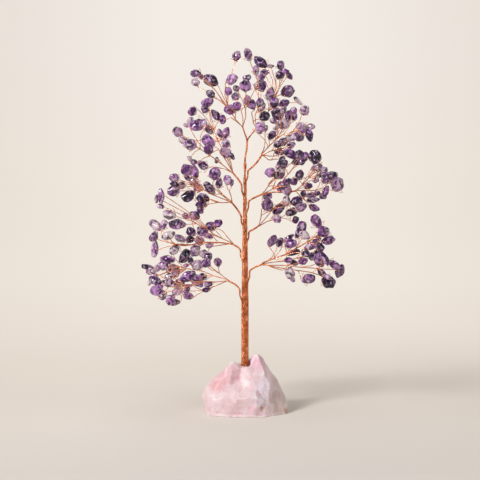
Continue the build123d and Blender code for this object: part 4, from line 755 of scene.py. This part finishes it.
def tumble_tree(material):
    """Round and dent broken stones, as tumbling does."""
    tree, given = new_tree("tumbled_" + material.name, (
        ("Rounds", "NodeSocketInt", TUMBLE_ROUNDS), ("Dents", "NodeSocketFloat", 0.0),
    ))
    crease = node(tree, "GeometryNodeInputNamedAttribute", {"Name": "worn_edge"}, data_type="FLOAT")[0]
    rounded = node(tree, "GeometryNodeSubdivisionSurface", {
        "Mesh": given["Geometry"], "Level": given["Rounds"], "Edge Crease": crease})[0]
    place = node(tree, "GeometryNodeInputPosition")[0]
    facing = node(tree, "GeometryNodeInputNormal")[0]
    knocks = node(tree, NOISE, {"Vector": place, "Scale": 1 / KNOCK, "Detail": 2})[0]
    depth = node(tree, MATH, {0: knocks, 1: 0.5}, operation="SUBTRACT")[0]
    depth = node(tree, MATH, {0: depth, 1: given["Dents"]}, operation="MULTIPLY")[0]
    offset = node(tree, VECTORS, {0: facing, "Scale": depth}, operation="SCALE")[0]
    dented = node(tree, "GeometryNodeSetPosition", {"Geometry": rounded, "Offset": offset})[0]
    finish_tree(tree, dented, material)
    return tree


def solids_of(mesh):
    """The corners of each separate solid of a bmesh."""
    left = set(mesh.verts)
    groups = []
    for corner in mesh.verts:
        if corner not in left:
            continue
        left.discard(corner)
        group = [corner]
        for member in group:
            for edge in member.link_edges:
                other = edge.other_vert(member)
                if other in left:
                    left.discard(other)
                    group.append(other)
        groups.append([vertex.co.copy() for vertex in group])
    return groups


def broken_stone(points):
    """A stone's hull as a bmesh of its main faces, without the bore."""
    hull = bmesh.new()
    for point in points:
        hull.verts.new(point)
    swept = bmesh.ops.convex_hull(hull, input=hull.verts)
    inside = {part for part in swept["geom_interior"] + swept["geom_unused"]
              if isinstance(part, bmesh.types.BMVert)}
    bmesh.ops.delete(hull, geom=list(inside), context="VERTS")
    bmesh.ops.dissolve_limit(hull, angle_limit=SAME_FACE, verts=hull.verts, edges=hull.edges)
    bmesh.ops.remove_doubles(hull, verts=hull.verts, dist=SHORT_EDGE)
    return hull


tumble = {tone: tumble_tree(material) for tone, material in amethysts.items()}
chance = np.random.default_rng(TUMBLING_SEED)
for branch in branches:
    for tone in amethysts:
        node_name = branch + "_" + tone + "_chips"
        cad_mesh = merged_copy(node_name)
        stones = bmesh.new()
        shade_layer = stones.verts.layers.float.new("stone_shade")
        wear_layer = stones.edges.layers.float.new("worn_edge")
        for points in solids_of(cad_mesh):
            middle = sum(points, Vector()) / len(points)
            hull = broken_stone(points)
            shade = chance.random()
            made = {}
            for corner in hull.verts:
                nudge = Vector(chance.uniform(-NUDGE_SHARE, NUDGE_SHARE, 3)) * (corner.co - middle).length
                place = stones.verts.new(middle + (corner.co - middle) * REGROWTH + nudge)
                place[shade_layer] = shade
                made[corner] = place
            for face in hull.faces:
                stones.faces.new([made[corner] for corner in face.verts])
            for edge in hull.edges:
                pair = stones.edges.get([made[corner] for corner in edge.verts])
                if pair:
                    pair[wear_layer] = max(0.0, chance.uniform(LEAST_WEAR, MOST_WEAR))
            hull.free()
        cad_mesh.free()
        bmesh.ops.recalc_face_normals(stones, faces=stones.faces)
        mesh = bpy.data.meshes.new(node_name + "_stones")
        stones.to_mesh(mesh)
        stones.free()
        source = new_object(node_name + "_stones", mesh)
        chips = made_by(tumble[tone], source, {
            "Rounds": TUMBLE_ROUNDS, "Dents": KNOCK_DEPTH}, branch + "_tumbled_" + tone)
        keep_in_box(chips.data)
        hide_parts(node_name)
        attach(chips, branch)


# Studio: a table and wall of one plain cream paper, curved up behind the piece beyond the circle that
#  the camera goes round in, so the piece shows from behind too. Round the piece the paper is lit and keeps
#  the shadow, with painted shade that darkens it towards the front and the sides. Further off, to the camera
#  and in reflections, it shows the pale tone that it has in a picture, painted on instead of lit: darkest in
#  front of and near the piece, a little lighter further back and higher up, and laid partly over the shadow.
FLOOR_BACK = 1000 * MM
SWEEP_RADIUS = 900 * MM
SWEEP_STEPS = 24
SWEEP_SIDE = 9000 * MM
SWEEP_FRONT = -9000 * MM
WALL_TOP = 4000 * MM
RISE_SHARE = 3.0            # going up the wall changes the paper's tone this much faster than going back
LIT_FROM, LIT_TO = -200 * MM, 1800 * MM
PALE_FROM, PALE_TO = 0, 3000 * MM
SIDE_FROM, SIDE_TO = 130 * MM, 400 * MM
LIT_ROUND = 90 * MM         # within this the paper is only lit
PALE_ROUND = 480 * MM       # beyond this it only has its painted pale tone, which between the two partly covers the shadow


def cream_paper(tree):
    """Matt cream paper: no gloss. Its colour has painted shade, darker towards the sides and the front, and
    further off it shows a painted pale tone instead of its lit one.
    """
    where = node(tree, "ShaderNodeTexCoord")["Object"]
    parts = node(tree, "ShaderNodeSeparateXYZ", {"Vector": where})
    back = node(tree, MATH, {0: parts["Z"], 1: RISE_SHARE, 2: parts["Y"]}, operation="MULTIPLY_ADD")[0]
    far = node(tree, RANGE, {"Value": back, "From Min": LIT_FROM, "From Max": LIT_TO})[0]
    # Painted shade: the lit paper's colour darkens towards the front.
    lit = node(tree, RAMP, {"Fac": far}, (
        (0.0, "#D2CCC8"), (0.075, "#DED7D1"), (0.13, "#E0D8D0"), (0.184, "#E6DFD6"), (0.26, "#EEE7DE")))[0]
    high = node(tree, RANGE, {"Value": back, "From Min": PALE_FROM, "From Max": PALE_TO})[0]
    # The far paper's painted pale tone: darkest in front of and near the piece, lighter further back and
    # higher up.
    pale = node(tree, RAMP, {"Fac": high}, (
        (0.0, "#DED5CB"), (0.05, "#E4D9CE"), (0.11, "#E9DFD4"), (0.15, "#EBE1D7"), (0.24, "#EFE6DC"),
        (0.38, "#F1E8DE"), (0.47, "#F2E9DF"), (0.66, "#F3EBE3"), (0.80, "#F3ECE5")))[0]
    # Painted shade: both tones darken a little towards the sides.
    across = node(tree, MATH, {0: parts["X"]}, operation="ABSOLUTE")[0]
    beside = node(tree, RANGE, {"Value": across, "From Min": SIDE_FROM, "From Max": SIDE_TO})[0]
    side = node(tree, RAMP, {"Fac": beside}, ((0.0, "#FFFFFF"), (1.0, "#F5F4F2")))[0]
    lit, pale = (
        node(tree, MIX, {0: 1.0, BELOW: tone, ABOVE: side}, data_type="RGBA", blend_type="MULTIPLY")[MIXED]
        for tone in (lit, pale))
    # Near the piece the lit colour is kept; further off, camera rays and reflections see the painted pale
    # tone, which also lightens part of the shadow.
    reach = node(tree, VECTORS, {0: where}, operation="LENGTH")["Value"]
    away = node(tree, RANGE, {"Value": reach, "From Min": LIT_ROUND, "From Max": PALE_ROUND},
                interpolation_type="SMOOTHSTEP")[0]
    rays = node(tree, "ShaderNodeLightPath")
    seen = node(tree, MATH, {0: rays["Is Camera Ray"], 1: rays["Is Glossy Ray"]}, operation="ADD")[0]
    seen = node(tree, MATH, {0: seen, 1: rays["Is Transmission Ray"]}, operation="ADD", use_clamp=True)[0]
    share = node(tree, MATH, {0: away, 1: seen}, operation="MULTIPLY")[0]
    return {
        "Base Color": node(tree, MIX, {0: share, BELOW: lit, ABOVE: "#000000"}, data_type="RGBA")[MIXED],
        "Roughness": 0.9,
        "Specular IOR Level": 0.1,
        "Emission Color": pale,
        "Emission Strength": share,
    }


paper = new_material("matt_cream_paper", cream_paper)
profile = [(SWEEP_FRONT, 0), (0, 0)]
for step in range(SWEEP_STEPS + 1):
    turn = step / SWEEP_STEPS * math.pi / 2
    profile.append((FLOOR_BACK + SWEEP_RADIUS * math.sin(turn), SWEEP_RADIUS * (1 - math.cos(turn))))
profile.append((FLOOR_BACK + SWEEP_RADIUS, WALL_TOP))
sweep = bpy.data.meshes.new("paper_sweep")
corners = [(side, y, z) for side in (-SWEEP_SIDE, SWEEP_SIDE) for y, z in profile]
count = len(profile)
sweep.from_pydata(corners, [], [
    (index, count + index, count + index + 1, index + 1) for index in range(count - 1)])
for face in sweep.polygons:
    face.use_smooth = True
sweep.materials.append(paper)
new_object("paper_sweep", sweep)


# Light and camera: a large soft window from the left and above, weaker soft boxes at the front and on
# top, and an even pale room. The camera looks slightly down at the piece from the front.
ROOM_STRENGTH = 0.36
LAMPS = (                   # name, place, aim and size in millimetres, watts, colour
    ("window_left", (-1500, -1100, 1500), (0, 0, 120), (480, 640), 34, "#FFFDFA"),
    ("strip_left", (-960, -1150, 520), (0, 0, 180), (110, 1200), 6, "#FFFDFA"),
    ("fill_front", (900, -1300, 600), (0, 0, 120), (400, 900), 4, "#FFFDFA"),
    ("top", (0, 100, 1500), (0, 0, 100), (900, 900), 4, "#FFFCF8"),
)
CAMERA_MM = (-4, -1389.6, 309.8)
CAMERA_AIM_MM = (-4, 0, 139.2)
CAMERA_LENS = 131.25
CAMERA_SENSOR = 36
CAMERA_REACH = 50           # metres, past the far edge of the paper

world = bpy.data.worlds.new("studio")
bpy.context.scene.world = world
world.use_nodes = True
background = world.node_tree.nodes["Background"]
background.inputs["Color"].default_value = linear("#FCFBFA")
background.inputs["Strength"].default_value = ROOM_STRENGTH


def aimed(name, data, place_mm, aim_mm):
    """A lamp or camera at a place in the scene, turned to a point."""
    made = new_object(name, data)
    made.location = Vector(place_mm) * MM
    made.rotation_euler = (Vector(aim_mm) * MM - made.location).to_track_quat("-Z", "Y").to_euler()
    return made


for name, place_mm, aim_mm, size_mm, watts, colour in LAMPS:
    lamp = bpy.data.lights.new(name, "AREA")
    lamp.shape = "RECTANGLE"
    lamp.size = size_mm[0] * MM
    lamp.size_y = size_mm[1] * MM
    lamp.energy = watts
    lamp.color = linear(colour)[:3]
    aimed(name, lamp, place_mm, aim_mm)

camera_data = bpy.data.cameras.new("camera")
camera_data.sensor_width = CAMERA_SENSOR
camera_data.lens = CAMERA_LENS
camera_data.clip_end = CAMERA_REACH
bpy.context.scene.camera = aimed("camera", camera_data, CAMERA_MM, CAMERA_AIM_MM)
bpy.context.scene.view_settings.view_transform = "Standard"
